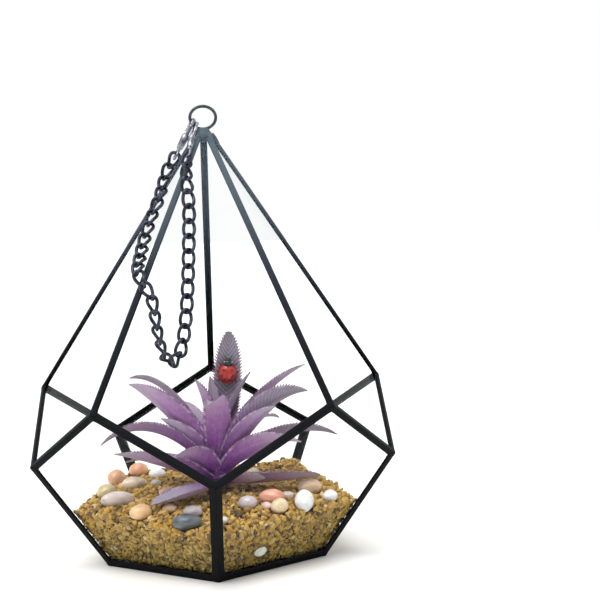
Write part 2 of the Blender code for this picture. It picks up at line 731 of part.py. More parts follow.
def clasp(name, hook, tail):
    """A flat clasp with a slot round the ring's wire and a hole for the chain's end link."""
    along = (tail - hook).normalized()
    length = (tail - hook).length
    curve = bpy.data.curves.new(name, "CURVE")
    curve.dimensions = "2D"
    curve.fill_mode = "BOTH"
    curve.extrude = CLASP_THICKNESS / 2
    stadium(curve, -CLASP_OVERHANG, length + CLASP_OVERHANG, CLASP_RADIUS)
    stadium(curve, *SLOT_SPAN, CLASP_SLOT)
    stadium(curve, length + 0.25 * MM, length + 0.35 * MM, CLASP_SLOT)
    made = add(name, curve, SILVER)
    normal = (CLASP_NORMAL - along * CLASP_NORMAL.dot(along)).normalized()
    turn = Matrix((along, normal.cross(along), normal)).transposed().to_4x4()
    made.matrix_world = Matrix.Translation(hook) @ turn
    mesh = settled(made)
    bpy.data.objects.remove(made, do_unlink=True)
    add(name, mesh, SILVER)


frame()
apex()
STEM_HOLE = plant()
gravel_bed([*pebbles(), STEM_HOLE])
ladybird()
chain()
clasp("clasp_left", LEFT_HOOK, Vector(OUTER_ROUTE[0]) * MM)
clasp("clasp_right", RIGHT_HOOK, Vector(RIGHT_ROUTE[-1]) * MM)
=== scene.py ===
"""Looks of the geometric glass terrarium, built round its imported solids.

The strips, panes and pebbles keep their solids and get finishes and softened edges. The solder, ring,
chain, clasps, gravel, plant and ladybird are built here in more detail, from the sizes of their solids.
"""

import logging
import math
from collections.abc import Callable, Iterable, Sequence
from dataclasses import dataclass, field
from enum import Enum

import bmesh
import bpy
import numpy as np
from mathutils import Matrix, Quaternion, Vector, noise
from mathutils.geometry import interpolate_bezier

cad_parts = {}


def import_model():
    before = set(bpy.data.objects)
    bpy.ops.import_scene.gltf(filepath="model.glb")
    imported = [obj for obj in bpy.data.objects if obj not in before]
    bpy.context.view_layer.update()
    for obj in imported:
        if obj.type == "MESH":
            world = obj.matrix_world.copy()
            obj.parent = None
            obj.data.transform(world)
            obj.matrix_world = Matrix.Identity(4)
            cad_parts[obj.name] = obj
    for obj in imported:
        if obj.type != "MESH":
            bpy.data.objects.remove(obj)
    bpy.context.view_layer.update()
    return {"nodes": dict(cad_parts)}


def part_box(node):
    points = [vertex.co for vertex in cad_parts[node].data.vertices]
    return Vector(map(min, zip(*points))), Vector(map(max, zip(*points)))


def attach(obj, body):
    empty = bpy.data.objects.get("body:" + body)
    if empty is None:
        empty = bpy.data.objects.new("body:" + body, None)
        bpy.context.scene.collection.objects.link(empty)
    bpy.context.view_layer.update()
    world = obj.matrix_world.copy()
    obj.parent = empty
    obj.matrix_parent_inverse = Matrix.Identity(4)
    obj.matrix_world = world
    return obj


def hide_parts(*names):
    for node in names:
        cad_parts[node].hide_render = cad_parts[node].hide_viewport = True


LOG = logging.getLogger("terrarium")
MM = 0.001
UP = Vector((0.0, 0.0, 1.0))
BODY = "root"
# The plant's middle, from the terrarium's
MIDDLE = Vector((2.1 * MM, 0.0, 0.0))
Color = tuple[float, float, float]


class Slot(Enum):
    """The record's material slots."""

    PAINT = "black_paint"
    STEEL = "black_steel"
    SILVER = "silver"
    GRAVEL = "gravel"
    PEBBLE = "pebble"
    LEAF = "purple_leaf"
    LADYBIRD = "ladybird_red"


class Shade:
    """A shader socket that takes part in Python expressions on values."""

    def __init__(self, board: "Board", socket: bpy.types.NodeSocket) -> None:
        """Keep the socket and the board that its node lies on."""
        self.board = board
        self.socket = socket

    def maths(self, operation: str, *values: "Shade | float") -> "Shade":
        """Add a Math node on some values."""
        return self.board.add("ShaderNodeMath", {"operation": operation}, dict(enumerate(values)))

    def __add__(self, other: "Shade | float") -> "Shade":
        """Self plus other."""
        return self.maths("ADD", self, other)

    __radd__ = __add__

    def __sub__(self, other: "Shade | float") -> "Shade":
        """Self minus other."""
        return self.maths("SUBTRACT", self, other)

    def __rsub__(self, other: "Shade | float") -> "Shade":
        """Other minus self."""
        return self.maths("SUBTRACT", other, self)

    def __mul__(self, other: "Shade | float") -> "Shade":
        """Self times other."""
        return self.maths("MULTIPLY", self, other)

    __rmul__ = __mul__

    def __pow__(self, other: "Shade | float") -> "Shade":
        """Self to the power of other."""
        return self.maths("POWER", self, other)

    def __abs__(self) -> "Shade":
        """Self without its sign."""
        return self.maths("ABSOLUTE", self)

    def wave(self) -> "Shade":
        """A wave between 0 and 1 that has one crest for each whole number that self passes."""
        return self.maths("SINE", self * math.tau) * 0.5 + 0.5

    def between(self, low: float, high: float) -> "Shade":
        """A smooth step from 0 to 1.

        Args:
            low: the value up to which it is 0.
            high: the value from which it is 1.

        Returns:
            The step.
        """
        settings = {"interpolation_type": "SMOOTHSTEP"}
        sockets = {"Value": self, "From Min": low, "From Max": high}
        return self.board.add("ShaderNodeMapRange", settings, sockets)


class Board:
    """A node tree on which a finish lays its nodes."""

    def __init__(self, tree: bpy.types.NodeTree) -> None:
        """Clear the tree and keep it."""
        tree.nodes.clear()
        self.tree = tree

    def add(
        self, kind: str, settings: dict | None = None, sockets: dict | None = None, output: int | str = 0
    ) -> Shade:
        """Add any node.

        Args:
            kind: the node's type.
            settings: its properties, which are set first; "stops" holds a ramp's (place, color) pairs.
            sockets: the values or links of its inputs, by name or number; colors have three parts.
            output: the output to return.

        Returns:
            The output.
        """
        node = self.tree.nodes.new(kind)
        for name, value in (settings or {}).items():
            if name == "stops":
                while len(node.color_ramp.elements) < len(value):
                    node.color_ramp.elements.new(1.0)
                for element, (place, color) in zip(node.color_ramp.elements, value):
                    element.position = place
                    element.color = (*color, 1.0)
            else:
                setattr(node, name, value)
        for name, value in (sockets or {}).items():
            if isinstance(value, Shade):
                self.tree.links.new(value.socket, node.inputs[name])
            else:
                color = node.inputs[name].type == "RGBA"
                node.inputs[name].default_value = (*value, 1.0) if color else value
        return Shade(self, node.outputs[output])

    def place(self) -> Shade:
        """The point on the object."""
        return self.add("ShaderNodeTexCoord", output="Object")

    def clouds(self, size: float, detail: float = 3.0, at: Shade | None = None, rough: float = 0.5) -> Shade:
        """A noise whose blotches are about so large in metres, read at a point, or on the object."""
        sockets = {"Vector": at or self.place(), "Scale": 1 / size, "Detail": detail, "Roughness": rough}
        return self.add("ShaderNodeTexNoise", None, sockets)

    def mark(self, name: str) -> Shade:
        """A value that the mesh carries at its points."""
        return self.add("ShaderNodeAttribute", {"attribute_name": name}, output="Fac")

    def blend(
        self, share: Shade | float, first: Shade | Color, second: Shade | Color, kind: str = "MIX"
    ) -> Shade:
        """A color between two, or of another blend kind."""
        settings = {"data_type": "RGBA", "blend_type": kind}
        return self.add("ShaderNodeMix", settings, {0: share, 6: first, 7: second}, 2)

    def axis(self, vector: Shade, name: str) -> Shade:
        """One part of a vector."""
        return self.add("ShaderNodeSeparateXYZ", None, {"Vector": vector}, name)

    def ramp(self, value: Shade, stops: Sequence[tuple[float, Color]]) -> Shade:
        """The color that a ramp gives a value."""
        return self.add("ShaderNodeValToRGB", {"stops": stops}, {"Fac": value})

    def bump(self, height: Shade, depth: float) -> Shade:
        """The surface's direction with some relief, whose depth is in metres."""
        return self.add("ShaderNodeBump", None, {"Height": height, "Distance": depth}, "Normal")

    def show(self, surface: Shade, kind: str = "ShaderNodeOutputMaterial") -> None:
        """Send a shader to an output node."""
        output = self.tree.nodes.new(kind)
        self.tree.links.new(surface.socket, output.inputs["Surface"])

    def coat(
        self, color: Shade | Color, roughness: Shade | float, normal: Shade | None = None, **rest: float
    ) -> None:
        """Lay a Principled shader and show it.

        Args:
            color: the base color.
            roughness: the roughness.
            normal: the surface's direction, or None for the mesh's own.
            rest: values for other sockets, with underscores for spaces.
        """
        sockets = {name.replace("_", " "): value for name, value in rest.items()}
        sockets |= {"Base Color": color, "Roughness": roughness}
        if normal:
            sockets["Normal"] = normal
        self.show(self.add("ShaderNodeBsdfPrincipled", None, sockets))


@dataclass(frozen=True)
class Finish:
    """A named finish, which makes its material once."""

    name: str

    def lay(self, board: Board) -> None:
        """Lay the finish's nodes."""
        raise NotImplementedError

    def material(self) -> bpy.types.Material:
        """The finish's material, made at the first call.

        Returns:
            The material.
        """
        made = bpy.data.materials.get(self.name)
        if made is None:
            made = bpy.data.materials.new(self.name)
            made.use_nodes = True
            self.lay(Board(made.node_tree))
        return made


@dataclass(frozen=True)
class PatinaAndSheen(Finish):
    """Black patina on soldered metal, near black low down; painted sheen greys faces turned up and turns the
    peak slate.
    """

    dark: Color = (0.0025, 0.0028, 0.0035)
    # grey, middle and slate are painted sheen: grey on faces turned up, middle and slate high up
    grey: Color = (0.0055, 0.0065, 0.0085)
    middle: Color = (0.026, 0.032, 0.046)
    slate: Color = (0.095, 0.125, 0.150)
    relief: float = 0.10 * MM
    # The heights over which painted sheen turns the metal to the middle tone, and then to slate
    painted_sheen_heights: tuple[float, float] = (95 * MM, 185 * MM)
    painted_slate_heights: tuple[float, float] = (142 * MM, 226 * MM)

    def lay(self, board: Board) -> None:
        """Lay the finish's nodes.

        Args:
            board: the material's empty board.
        """
        blotches = board.clouds(6 * MM, 4.0)
        specks = board.clouds(0.9 * MM, 3.0)
        upward = board.axis(board.add("ShaderNodeNewGeometry", output="Normal"), "Z")
        height = board.axis(board.place(), "Z")
        # Faces turned up get the lighter grey: painted sheen from overhead light
        low = board.blend(upward.between(-0.2, 0.55) * (0.75 + blotches * 0.5), self.dark, self.grey)
        # Higher up the metal turns to the middle tone, then to slate: painted sheen, lighter towards the
        # peak
        painted_sheen_tone = board.blend(height.between(*self.painted_sheen_heights), low, self.middle)
        bright = height.between(*self.painted_slate_heights) * (0.8 + blotches * 0.4)
        relief = board.bump(blotches * 0.7 + specks * 0.3, self.relief)
        color = board.blend(bright, painted_sheen_tone, self.slate)
        board.coat(color, 0.40 + specks * 0.28, relief, Specular_IOR_Level=0.055)


@dataclass(frozen=True)
class ClearGlass(Finish):
    """Clear window glass: it mirrors more the flatter it is looked at."""

    tint: Color = (0.985, 0.992, 0.988)
    head_on: float = 0.005
    mirror: Color = (0.86, 0.89, 0.89)
    smoothness: float = 0.015

    def lay(self, board: Board) -> None:
        """Lay the finish's nodes.

        Args:
            board: the material's empty board.
        """
        facing = board.add("ShaderNodeLayerWeight", None, {"Blend": 0.5}, "Facing")
        smears = board.clouds(30 * MM, 2.0).between(0.4, 0.8) * 0.002
        share = facing**9 * 0.45 + self.head_on + smears
        clear = board.add("ShaderNodeBsdfTransparent", None, {"Color": self.tint})
        look = {"Color": self.mirror, "Roughness": self.smoothness}
        mirror = board.add("ShaderNodeBsdfGlossy", None, look)
        board.show(board.add("ShaderNodeMixShader", None, {0: share, 1: clear, 2: mirror}))


@dataclass(frozen=True)
class Steel(Finish):
    """Bare or blackened steel wire, drawn and slightly pitted."""

    dark: Color
    light: Color
    roughness: float
    metallic: float

    def lay(self, board: Board) -> None:
        """Lay the finish's nodes.

        Args:
            board: the material's empty board.
        """
        wear = board.clouds(2.5 * MM, 4.0)
        pits = board.clouds(0.35 * MM, 2.0)
        color = board.blend(wear.between(0.4, 0.65), self.dark, self.light)
        roughness = self.roughness + wear * 0.12 + pits * 0.06
        board.coat(color, roughness, board.bump(wear + pits * 0.5, 0.05 * MM), Metallic=self.metallic)


@dataclass(frozen=True)
class Grains(Finish):
    """Yellow river gravel: every grain has its own tone, and those low behind the glass are browner."""

    tones: tuple[tuple[float, Color], ...] = (
        (0.00, (0.065, 0.042, 0.020)), (0.12, (0.160, 0.096, 0.034)), (0.28, (0.290, 0.175, 0.048)),
        (0.46, (0.430, 0.262, 0.052)), (0.64, (0.600, 0.350, 0.045)), (0.80, (0.520, 0.305, 0.095)),
        (0.92, (0.660, 0.450, 0.150)), (1.00, (0.720, 0.580, 0.330)),
    )
    low: Color = (0.56, 0.62, 0.50)
    dust: Color = (0.55, 0.42, 0.22)

    def lay(self, board: Board) -> None:
        """Lay the finish's nodes.

        Args:
            board: the material's empty board.
        """
        tone = board.ramp(board.mark("tone"), self.tones)
        grit = board.clouds(0.8 * MM, 4.0, rough=0.65)
        stain = board.clouds(2.2 * MM, 2.0)
        dusted = board.blend(stain.between(0.45, 0.75) * 0.55, tone, self.dust, "MULTIPLY")
        color = board.blend(board.mark("low"), dusted, self.low, "MULTIPLY")
        board.coat(color, 0.36 + grit * 0.35, board.bump(grit, 0.16 * MM), Specular_IOR_Level=0.45)


@dataclass(frozen=True)
class Stone(Finish):
    """A polished river pebble with faint bands and specks in its own color."""

    color: Color
    bands: float = 0.3
    turn: float = 0.0

    def lay(self, board: Board) -> None:
        """Lay the finish's nodes.

        Args:
            board: the material's empty board.
        """
        rotation = (self.turn, 2 * self.turn, self.turn)
        sockets = {"Vector": board.place(), "Rotation": rotation, "Scale": (1.0, 0.55, 2.4)}
        point = board.add("ShaderNodeMapping", None, sockets)
        layers = board.clouds(6 * MM, 3.0, point, 0.55)
        specks = board.clouds(0.8 * MM, 3.0)
        deep = tuple(part * 0.55 for part in self.color)
        pale = tuple(min(part * 1.15 + 0.07, 0.92) for part in self.color)
        body = board.blend(layers.between(0.38, 0.62), self.color, pale)
        veins = board.clouds(9 * MM, 5.0, point, 0.7).between(0.56, 0.66)
        veined = board.blend(veins * self.bands, body, deep)
        color = board.blend(specks.between(0.55, 0.75) * 0.25, veined, deep)
        relief = board.bump(layers + specks * 0.2, 0.08 * MM)
        board.coat(color, 0.22 + specks * 0.2, relief, Coat_Weight=0.25)


@dataclass(frozen=True)
class LeafSkin(Finish):
    """Soft plastic leaf: purple at the heart, silvery towards the tip, with pale edges and ribbed scales."""

    below: tuple[tuple[float, Color], ...] = (
        (0.0, (0.120, 0.022, 0.165)), (0.25, (0.235, 0.062, 0.290)), (0.5, (0.390, 0.175, 0.430)),
        (0.75, (0.500, 0.350, 0.530)), (1.0, (0.420, 0.390, 0.460)),
    )
    above: tuple[tuple[float, Color], ...] = (
        (0.0, (0.150, 0.045, 0.210)), (0.3, (0.330, 0.190, 0.380)), (0.6, (0.420, 0.320, 0.460)),
        (1.0, (0.350, 0.335, 0.380)),
    )
    silver: Color = (0.190, 0.182, 0.222)
    margin: Color = (0.560, 0.460, 0.600)
    tooth_tip: Color = (0.175, 0.130, 0.195)
    line: Color = (0.62, 0.50, 0.66)
    chevrons: float = 27.0

    def lay(self, board: Board) -> None:
        """Lay the finish's nodes.

        Args:
            board: the material's empty board.
        """
        along, across = board.mark("along"), board.mark("across")
        upper, grey = board.mark("upper"), board.mark("grey")
        reach = abs(across)
        mottle = board.clouds(3 * MM, 4.0, rough=0.6)
        grit = board.clouds(0.7 * MM, 3.0)
        drift = (mottle - 0.5) * 0.45
        faces = [board.ramp(along + drift, stops) for stops in (self.below, self.above)]
        side = board.blend(upper, *faces)
        greyed = board.blend(grey * along.between(0.15, 0.6), side, self.silver)
        scales = (along * self.chevrons - reach * 3.0 + mottle * 0.6).wave()
        flecks = scales * (grey**6 * 0.36 + 0.04) + grit.between(0.5, 0.75) * 0.16
        scaled = board.blend(flecks, greyed, self.margin)
        spread = board.add("ShaderNodeCombineXYZ", None, {"X": across * 9.0, "Y": along * 3.0})
        lines = board.clouds(1.0, 2.0, spread)
        lined = board.blend(lines.between(0.45, 0.75) * 0.16, scaled, self.line)
        patchy = board.clouds(2.2 * MM, 2.0).between(0.42, 0.60)
        rim = board.blend(patchy, self.tooth_tip, self.margin)
        edged = board.blend(reach.between(0.84, 0.95) * (0.72 - grey * 0.4), lined, rim)
        color = board.blend(reach.between(0.965, 1.15) * 0.8, edged, self.tooth_tip)
        relief = board.bump(lines * 0.4 + mottle * 0.4 + scales * grey**3 * 0.8 + grit * 0.4, 0.20 * MM)
        board.coat(
            color, 0.44 + mottle * 0.18, relief, Specular_IOR_Level=0.35, Subsurface_Weight=0.10,
            Subsurface_Scale=1.5 * MM, Sheen_Weight=0.08, Sheen_Roughness=0.5,
        )


@dataclass(frozen=True)
class Lacquer(Finish):
    """Glossy lacquer with faint unevenness, as on the ladybird."""

    color: Color
    deep: Color

    def lay(self, board: Board) -> None:
        """Lay the finish's nodes.

        Args:
            board: the material's empty board.
        """
        cloud = board.clouds(2.2 * MM, 3.0)
        color = board.blend(cloud.between(0.35, 0.7), self.color, self.deep)
        board.coat(color, 0.26 + cloud * 0.14, board.bump(cloud, 0.08 * MM), Coat_Weight=0.35)


@dataclass(frozen=True)
class Paper(Finish):
    """The plain pale floor."""

    color: Color = (0.93, 0.93, 0.925)

    def lay(self, board: Board) -> None:
        """Lay the finish's nodes.

        Args:
            board: the material's empty board.
        """
        fibre = board.clouds(2 * MM, 2.0)
        pale = tuple(min(part * 1.01, 1.0) for part in self.color)
        board.coat(board.blend(fibre, self.color, pale), 0.75, Specular_IOR_Level=0.2)


# Near black patina, with painted sheen: grey on faces turned up and slate near the peak
PATINA_AND_SHEEN = PatinaAndSheen("patina_and_painted_sheen")
GLASS = ClearGlass("window_glass")
CHAIN_STEEL = Steel("chain_steel", (0.014, 0.017, 0.030), (0.055, 0.068, 0.098), 0.30, 0.6)
RING_STEEL = Steel("ring_steel", (0.035, 0.040, 0.050), (0.075, 0.085, 0.100), 0.34, 0.5)
CLASP_SILVER = Steel("clasp_silver", (0.16, 0.17, 0.20), (0.46, 0.48, 0.53), 0.26, 0.8)
GRAINS = Grains("gravel_grains")
LEAF_SKIN = LeafSkin("leaf_skin")
RED = Lacquer("ladybird_shell", (0.52, 0.030, 0.014), (0.34, 0.012, 0.010))
BLACK = Lacquer("ladybird_black", (0.010, 0.011, 0.014), (0.022, 0.026, 0.034))
CHEEK = Lacquer("ladybird_cheek", (0.62, 0.60, 0.55), (0.50, 0.47, 0.42))
PAPER = Paper("paper")


def fit(
    name: str, mesh: bpy.types.Mesh, finishes: Sequence[Finish], slot: Slot, *stands_for: str
) -> bpy.types.Object:
    """Put a mesh in the scene as a piece of the object.

    Args:
        name: the piece's name.
        mesh: its mesh, in the row frame.
        finishes: its finishes, in the order of the mesh's material numbers.
        slot: the record's slot of the piece; not used.
        stands_for: the CAD nodes that it stands for.

    Returns:
        The object.
    """
    mesh.name = name
    for finish in finishes:
        mesh.materials.append(finish.material())
    made = linked(name, mesh)
    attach(made, BODY)
    if stands_for:
        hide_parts(*stands_for)
    LOG.info("%s: %d faces", name, len(mesh.polygons))
    return made


def repaint(node: bpy.types.Object, finish: Finish) -> None:
    """Put a finish on a CAD node."""
    node.data.materials.clear()
    node.data.materials.append(finish.material())


def weld(node: bpy.types.Object) -> None:
    """Join a CAD node's doubled points with a modifier, which leaves its mesh as it is."""
    node.modifiers.new("weld", "WELD").merge_threshold = 0.01 * MM


def marked(mesh: bpy.types.Mesh, name: str, values: Sequence[float]) -> None:
    """Give each point of a mesh a value that its finish reads."""
    mesh.attributes.new(name, "FLOAT", "POINT").data.foreach_set("value", values)


def linked(name: str, data: bpy.types.ID) -> bpy.types.Object:
    """Put a new object in the scene.

    Args:
        name: its name.
        data: its mesh, curve, lamp or camera.

    Returns:
        The object.
    """
    made = bpy.data.objects.new(name, data)
    bpy.context.scene.collection.objects.link(made)
    return made


def settled(work: bmesh.types.BMesh) -> bpy.types.Mesh:
    """A mesh of the faces drawn so far, all turned outward.

    Args:
        work: the faces, which are freed.

    Returns:
        The mesh.
    """
    bmesh.ops.recalc_face_normals(work, faces=work.faces)
    mesh = bpy.data.meshes.new("settled")
    work.to_mesh(mesh)
    work.free()
    return mesh


def lofted(
    work: bmesh.types.BMesh, loops: Sequence[Sequence[bmesh.types.BMVert]], *caps: int
) -> list[bmesh.types.BMFace]:
    """Join each closed loop of points to the next with faces.

    Args:
        work: the mesh.
        loops: the loops, which have as many points each.
        caps: the numbers of the loops that a face closes.

    Returns:
        The faces, the closing ones first.
    """
    faces = [work.faces.new(loops[cap]) for cap in caps]
    for near, far in zip(loops, loops[1:]):
        for place in range(len(near)):
            faces.append(work.faces.new([near[place - 1], near[place], far[place], far[place - 1]]))
    return faces


def baked(thing: bpy.types.Object) -> bpy.types.Mesh:
    """The mesh of an object as its modifiers leave it.

    Args:
        thing: the object, which is removed.

    Returns:
        The mesh, in the row frame and with no materials.
    """
    bpy.context.view_layer.update()
    mesh = bpy.data.meshes.new_from_object(thing.evaluated_get(bpy.context.evaluated_depsgraph_get()))
    mesh.transform(thing.matrix_world)
    mesh.materials.clear()
    bpy.data.objects.remove(thing, do_unlink=True)
    return mesh


def joined(meshes: Iterable[bpy.types.Mesh]) -> bpy.types.Mesh:
    """Several meshes as one.

    Args:
        meshes: the meshes, which are removed.

    Returns:
        The new mesh, with their material numbers.
    """
    work = bmesh.new()
    for mesh in meshes:
        work.from_mesh(mesh)
        bpy.data.meshes.remove(mesh)
    whole = bpy.data.meshes.new("joined")
    work.to_mesh(whole)
    work.free()
    return whole


def molten(mesh: bpy.types.Mesh, voxel: float, rounds: int) -> bpy.types.Mesh:
    """A mesh made one smooth skin, as melted solder is.

    Args:
        mesh: closed shells, which may overlap.
        voxel: the size of the skin's faces.
        rounds: how often it is smoothed.

    Returns:
        The skin.
    """
    draft = linked("draft", mesh)
    skin = draft.modifiers.new("skin", "REMESH")
    skin.mode = "VOXEL"
    skin.voxel_size = voxel
    relax = draft.modifiers.new("relax", "SMOOTH")
    relax.iterations = rounds
    relax.factor = 0.5
    made = baked(draft)
    made.shade_smooth()
    return made


def wire(
    points: Sequence[Vector], thickness: float, closed: bool, sizes: Sequence[float] | None = None
) -> bpy.types.Mesh:
    """A round wire through points.

    Args:
        points: the middle line.
        thickness: the wire's diameter.
        closed: whether its ends meet.
        sizes: the share of the thickness at each point, or None for an even wire.

    Returns:
        The wire's mesh.
    """
    curve = bpy.data.curves.new("wire", "CURVE")
    curve.dimensions = "3D"
    curve.bevel_depth = thickness / 2
    curve.bevel_resolution = 3
    curve.use_fill_caps = not closed
    spline = curve.splines.new("POLY")
    spline.points.add(len(points) - 1)
    for place, (knot, point) in enumerate(zip(spline.points, points)):
        knot.co = (*point, 1.0)
        knot.radius = sizes[place] if sizes else 1.0
    spline.use_cyclic_u = closed
    mesh = baked(linked("draft", curve))
    mesh.shade_smooth()
    return mesh


def beside(way: Vector, axis: Vector) -> Vector:
    """A direction without its part along an axis, as a unit vector."""
    return (way - axis * way.dot(axis)).normalized()


def posed(place: Vector, *axes: Vector) -> Matrix:
    """The transform that takes the origin to a place and its three axes along others."""
    return Matrix.Translation(place) @ Matrix(axes).transposed().to_4x4()


def around(radius: float, height: float, degrees: float) -> Vector:
    """A point at a radius and height, at an angle about the upright axis."""
    turn = math.radians(degrees)
    return Vector((radius * math.cos(turn), radius * math.sin(turn), height))


def turned(
    work: bmesh.types.BMesh, middle: Vector, profile: Sequence[tuple[float, float]], steps: int
) -> None:
    """Add a closed solid of revolution to a mesh.

    Args:
        work: the mesh.
        middle: a point of its upright axis.
        profile: the radius and height of each of its rings, in mm.
        steps: the points of each ring.
    """
    loops = []
    for radius, height in profile:
        spots = [middle + around(radius * MM, height * MM, 360 * step / steps) for step in range(steps)]
        loops.append([work.verts.new(spot) for spot in spots])
    lofted(work, loops, 0, -1)


@dataclass
class Skeleton:
    """The polyhedron's corners, faces and strips, as the solids have them."""

    sides: int = 5
    front: float = -90.0
    base_radius: float = 60.8 * MM
    girdle_radius: float = 100.0 * MM
    girdle_height: float = 56.2 * MM
    apex_height: float = 235.0 * MM
    base_width: float = 3.6 * MM
    girdle_width: float = 2.6 * MM
    rib_width: float = 2.2 * MM
    depth: float = 1.0 * MM
    inner_depth: float = 2.4 * MM
    gap: float = 0.3 * MM
    corners: dict[str, Vector] = field(default_factory=dict)
    faces: dict[str, list[str]] = field(default_factory=dict)

    def __post_init__(self) -> None:
        """Work out the corners and the faces."""
        flat = math.cos(math.pi / self.sides)
        fall = (self.apex_height - self.girdle_height) * flat / self.girdle_radius
        rise = self.girdle_height / ((self.girdle_radius - self.base_radius) * flat)
        radius = (self.apex_height + rise * self.base_radius * flat) / (fall + rise)
        self.corners["apex"] = UP * self.apex_height
        self.faces["floor"] = [f"base{number}" for number in reversed(range(self.sides))]
        for number in range(self.sides):
            after, before = (number + 1) % self.sides, (number - 1) % self.sides
            shoulder, girdle = f"shoulder{number}", f"girdle{number}"
            self.corners[f"base{number}"] = around(self.base_radius, 0, self.sector(number))
            self.corners[girdle] = around(self.girdle_radius, self.girdle_height, self.sector(number))
            height = self.apex_height - fall * radius
            self.corners[shoulder] = around(radius, height, self.sector(number + 0.5))
            near = [f"base{number}", f"base{after}", f"girdle{after}"]
            self.faces[f"side{number}"] = [*near, shoulder, girdle]
            self.faces[f"kite{number}"] = [girdle, shoulder, "apex", f"shoulder{before}"]

    def sector(self, index: float) -> float:
        """The angle of a corner of the base or girdle."""
        return self.front + 360 / self.sides * index

    def normal(self, face: str) -> Vector:
        """The outward unit normal of a face."""
        first, second, third = (self.corners[name] for name in self.faces[face][:3])
        return (second - first).cross(third - second).normalized()

    def inward(self, corner: str) -> Vector:
        """From a corner of the skin towards the inside, for each metre of depth."""
        rows = [self.normal(face) for face, names in self.faces.items() if corner in names][:3]
        return Matrix(rows).inverted() @ Vector((-1, -1, -1))

    def width(self, first: str, second: str) -> float:
        """How far the strip on an edge reaches over the glass.

        Args:
            first: one end of the edge.
            second: its other end.

        Returns:
            The width of one flange.
        """
        if "apex" in (first, second):
            return self.rib_width
        return self.base_width if "base" in first + second else self.girdle_width

    def inset(self, face: str, corner: str) -> Vector:
        """The way from a corner to where the flanges of its two strips meet in a face.

        Args:
            face: the face.
            corner: the corner.

        Returns:
            The way, in the face's plane.
        """
        names = self.faces[face]
        place = names.index(corner)
        before, after = names[place - 1], names[(place + 1) % len(names)]
        to_before = (self.corners[before] - self.corners[corner]).normalized()
        to_after = (self.corners[after] - self.corners[corner]).normalized()
        reach = to_before * self.width(corner, after) + to_after * self.width(corner, before)
        return reach / to_before.cross(to_after).length

    def neighbours(self, corner: str) -> list[str]:
        """The corners that a strip joins to this one.

        Args:
            corner: the corner.

        Returns:
            Their names, in order.
        """
        found = set()
        for names in self.faces.values():
            if corner in names:
                place = names.index(corner)
                found |= {names[place - 1], names[(place + 1) % len(names)]}
        return sorted(found)

    def wall_radius(self, height: float) -> float:
        """How far out the gravel reaches at a height, just inside the glass.

        Args:
            height: the height.

        Returns:
            The radius of its corners.
        """
        flat = math.cos(math.pi / self.sides)
        slope = (self.girdle_radius - self.base_radius) / self.girdle_height
        clear = (self.inner_depth + self.gap) / (math.cos(math.atan(slope * flat)) * flat)
        return self.base_radius + slope * height - clear


@dataclass
class Frame:
    """The metal strips, the panes between them, and the solder that joins them."""

    skeleton: Skeleton
    nodes: dict[str, bpy.types.Object]
    edge: float = 0.24 * MM
    flat: float = math.radians(1)
    sharp: float = math.radians(25)
    sleeve: float = 3.0 * MM
    proud: float = 0.12 * MM
    sunk: float = -0.10 * MM
    voxel: float = 0.30 * MM

    def dress(self) -> None:
        """Give the strips softened edges and their patina with painted sheen, and the panes their glass."""
        for name, node in self.nodes.items():
            if name.startswith(("rib_", "girdle_", "strut_", "base_")):
                self.soften(node)
                repaint(node, PATINA_AND_SHEEN)
            elif name.startswith("pane_"):
                repaint(node, GLASS)

    def soften(self, node: bpy.types.Object) -> None:
        """Round a strip's long edges with modifiers, which leave its mesh as it is.

        Args:
            node: the strip's CAD node.
        """
        weld(node)
        flatten = node.modifiers.new("flatten", "DECIMATE")
        flatten.decimate_type = "DISSOLVE"
        flatten.angle_limit = self.flat
        bevel = node.modifiers.new("edges", "BEVEL")
        bevel.width = self.edge
        bevel.segments = 3
        bevel.limit_method = "ANGLE"
        bevel.angle_limit = self.sharp

    def outline(self, corner: str, other: str, grow: float, along: float) -> list[Vector]:
        """The outline of a strip's end at a corner.

        Args:
            corner: the corner.
            other: the strip's other corner.
            grow: how far the outline stands out of the strip.
            along: how far along the strip it lies.

        Returns:
            Its points, round both flanges.
        """
        bones = self.skeleton
        skin = bones.corners[corner] + (bones.corners[other] - bones.corners[corner]).normalized() * along
        inward = bones.inward(corner)
        flanges = []
        for face in [face for face, names in bones.faces.items() if {corner, other} <= set(names)]:
            reach = bones.inset(face, corner) * (1 + grow / bones.width(corner, other))
            flanges.append([skin + inward * level + reach for level in (-grow, bones.depth + grow)])
        inner, outer = skin + inward * (bones.depth + grow), skin - inward * grow
        return [outer, *flanges[0], inner, *flanges[1][::-1]]

    def sleeves(self, corner: str) -> bpy.types.Mesh:
        """The sleeves of solder over the ends of the strips that meet at a corner.

        Args:
            corner: the corner.

        Returns:
            The sleeves as closed shells, one for each strip.
        """
        work = bmesh.new()
        for other in self.skeleton.neighbours(corner):
            loops = []
            for grow, along in ((self.proud, 0.0), (self.proud, self.sleeve / 2), (self.sunk, self.sleeve)):
                loops.append([work.verts.new(point) for point in self.outline(corner, other, grow, along)])
            lofted(work, loops, 0, -1)
        bmesh.ops.triangulate(work, faces=work.faces)
        return settled(work)

    def solder(self) -> None:
        """The solder at the corners of the base, the girdle and the shoulder."""
        for ring in ("base", "girdle", "shoulder"):
            corners = [f"{ring}{number}" for number in range(self.skeleton.sides)]
            skins = [molten(self.sleeves(corner), self.voxel, 3) for corner in corners]
            fit(f"solder_{ring}", joined(skins), [PATINA_AND_SHEEN], Slot.PAINT)


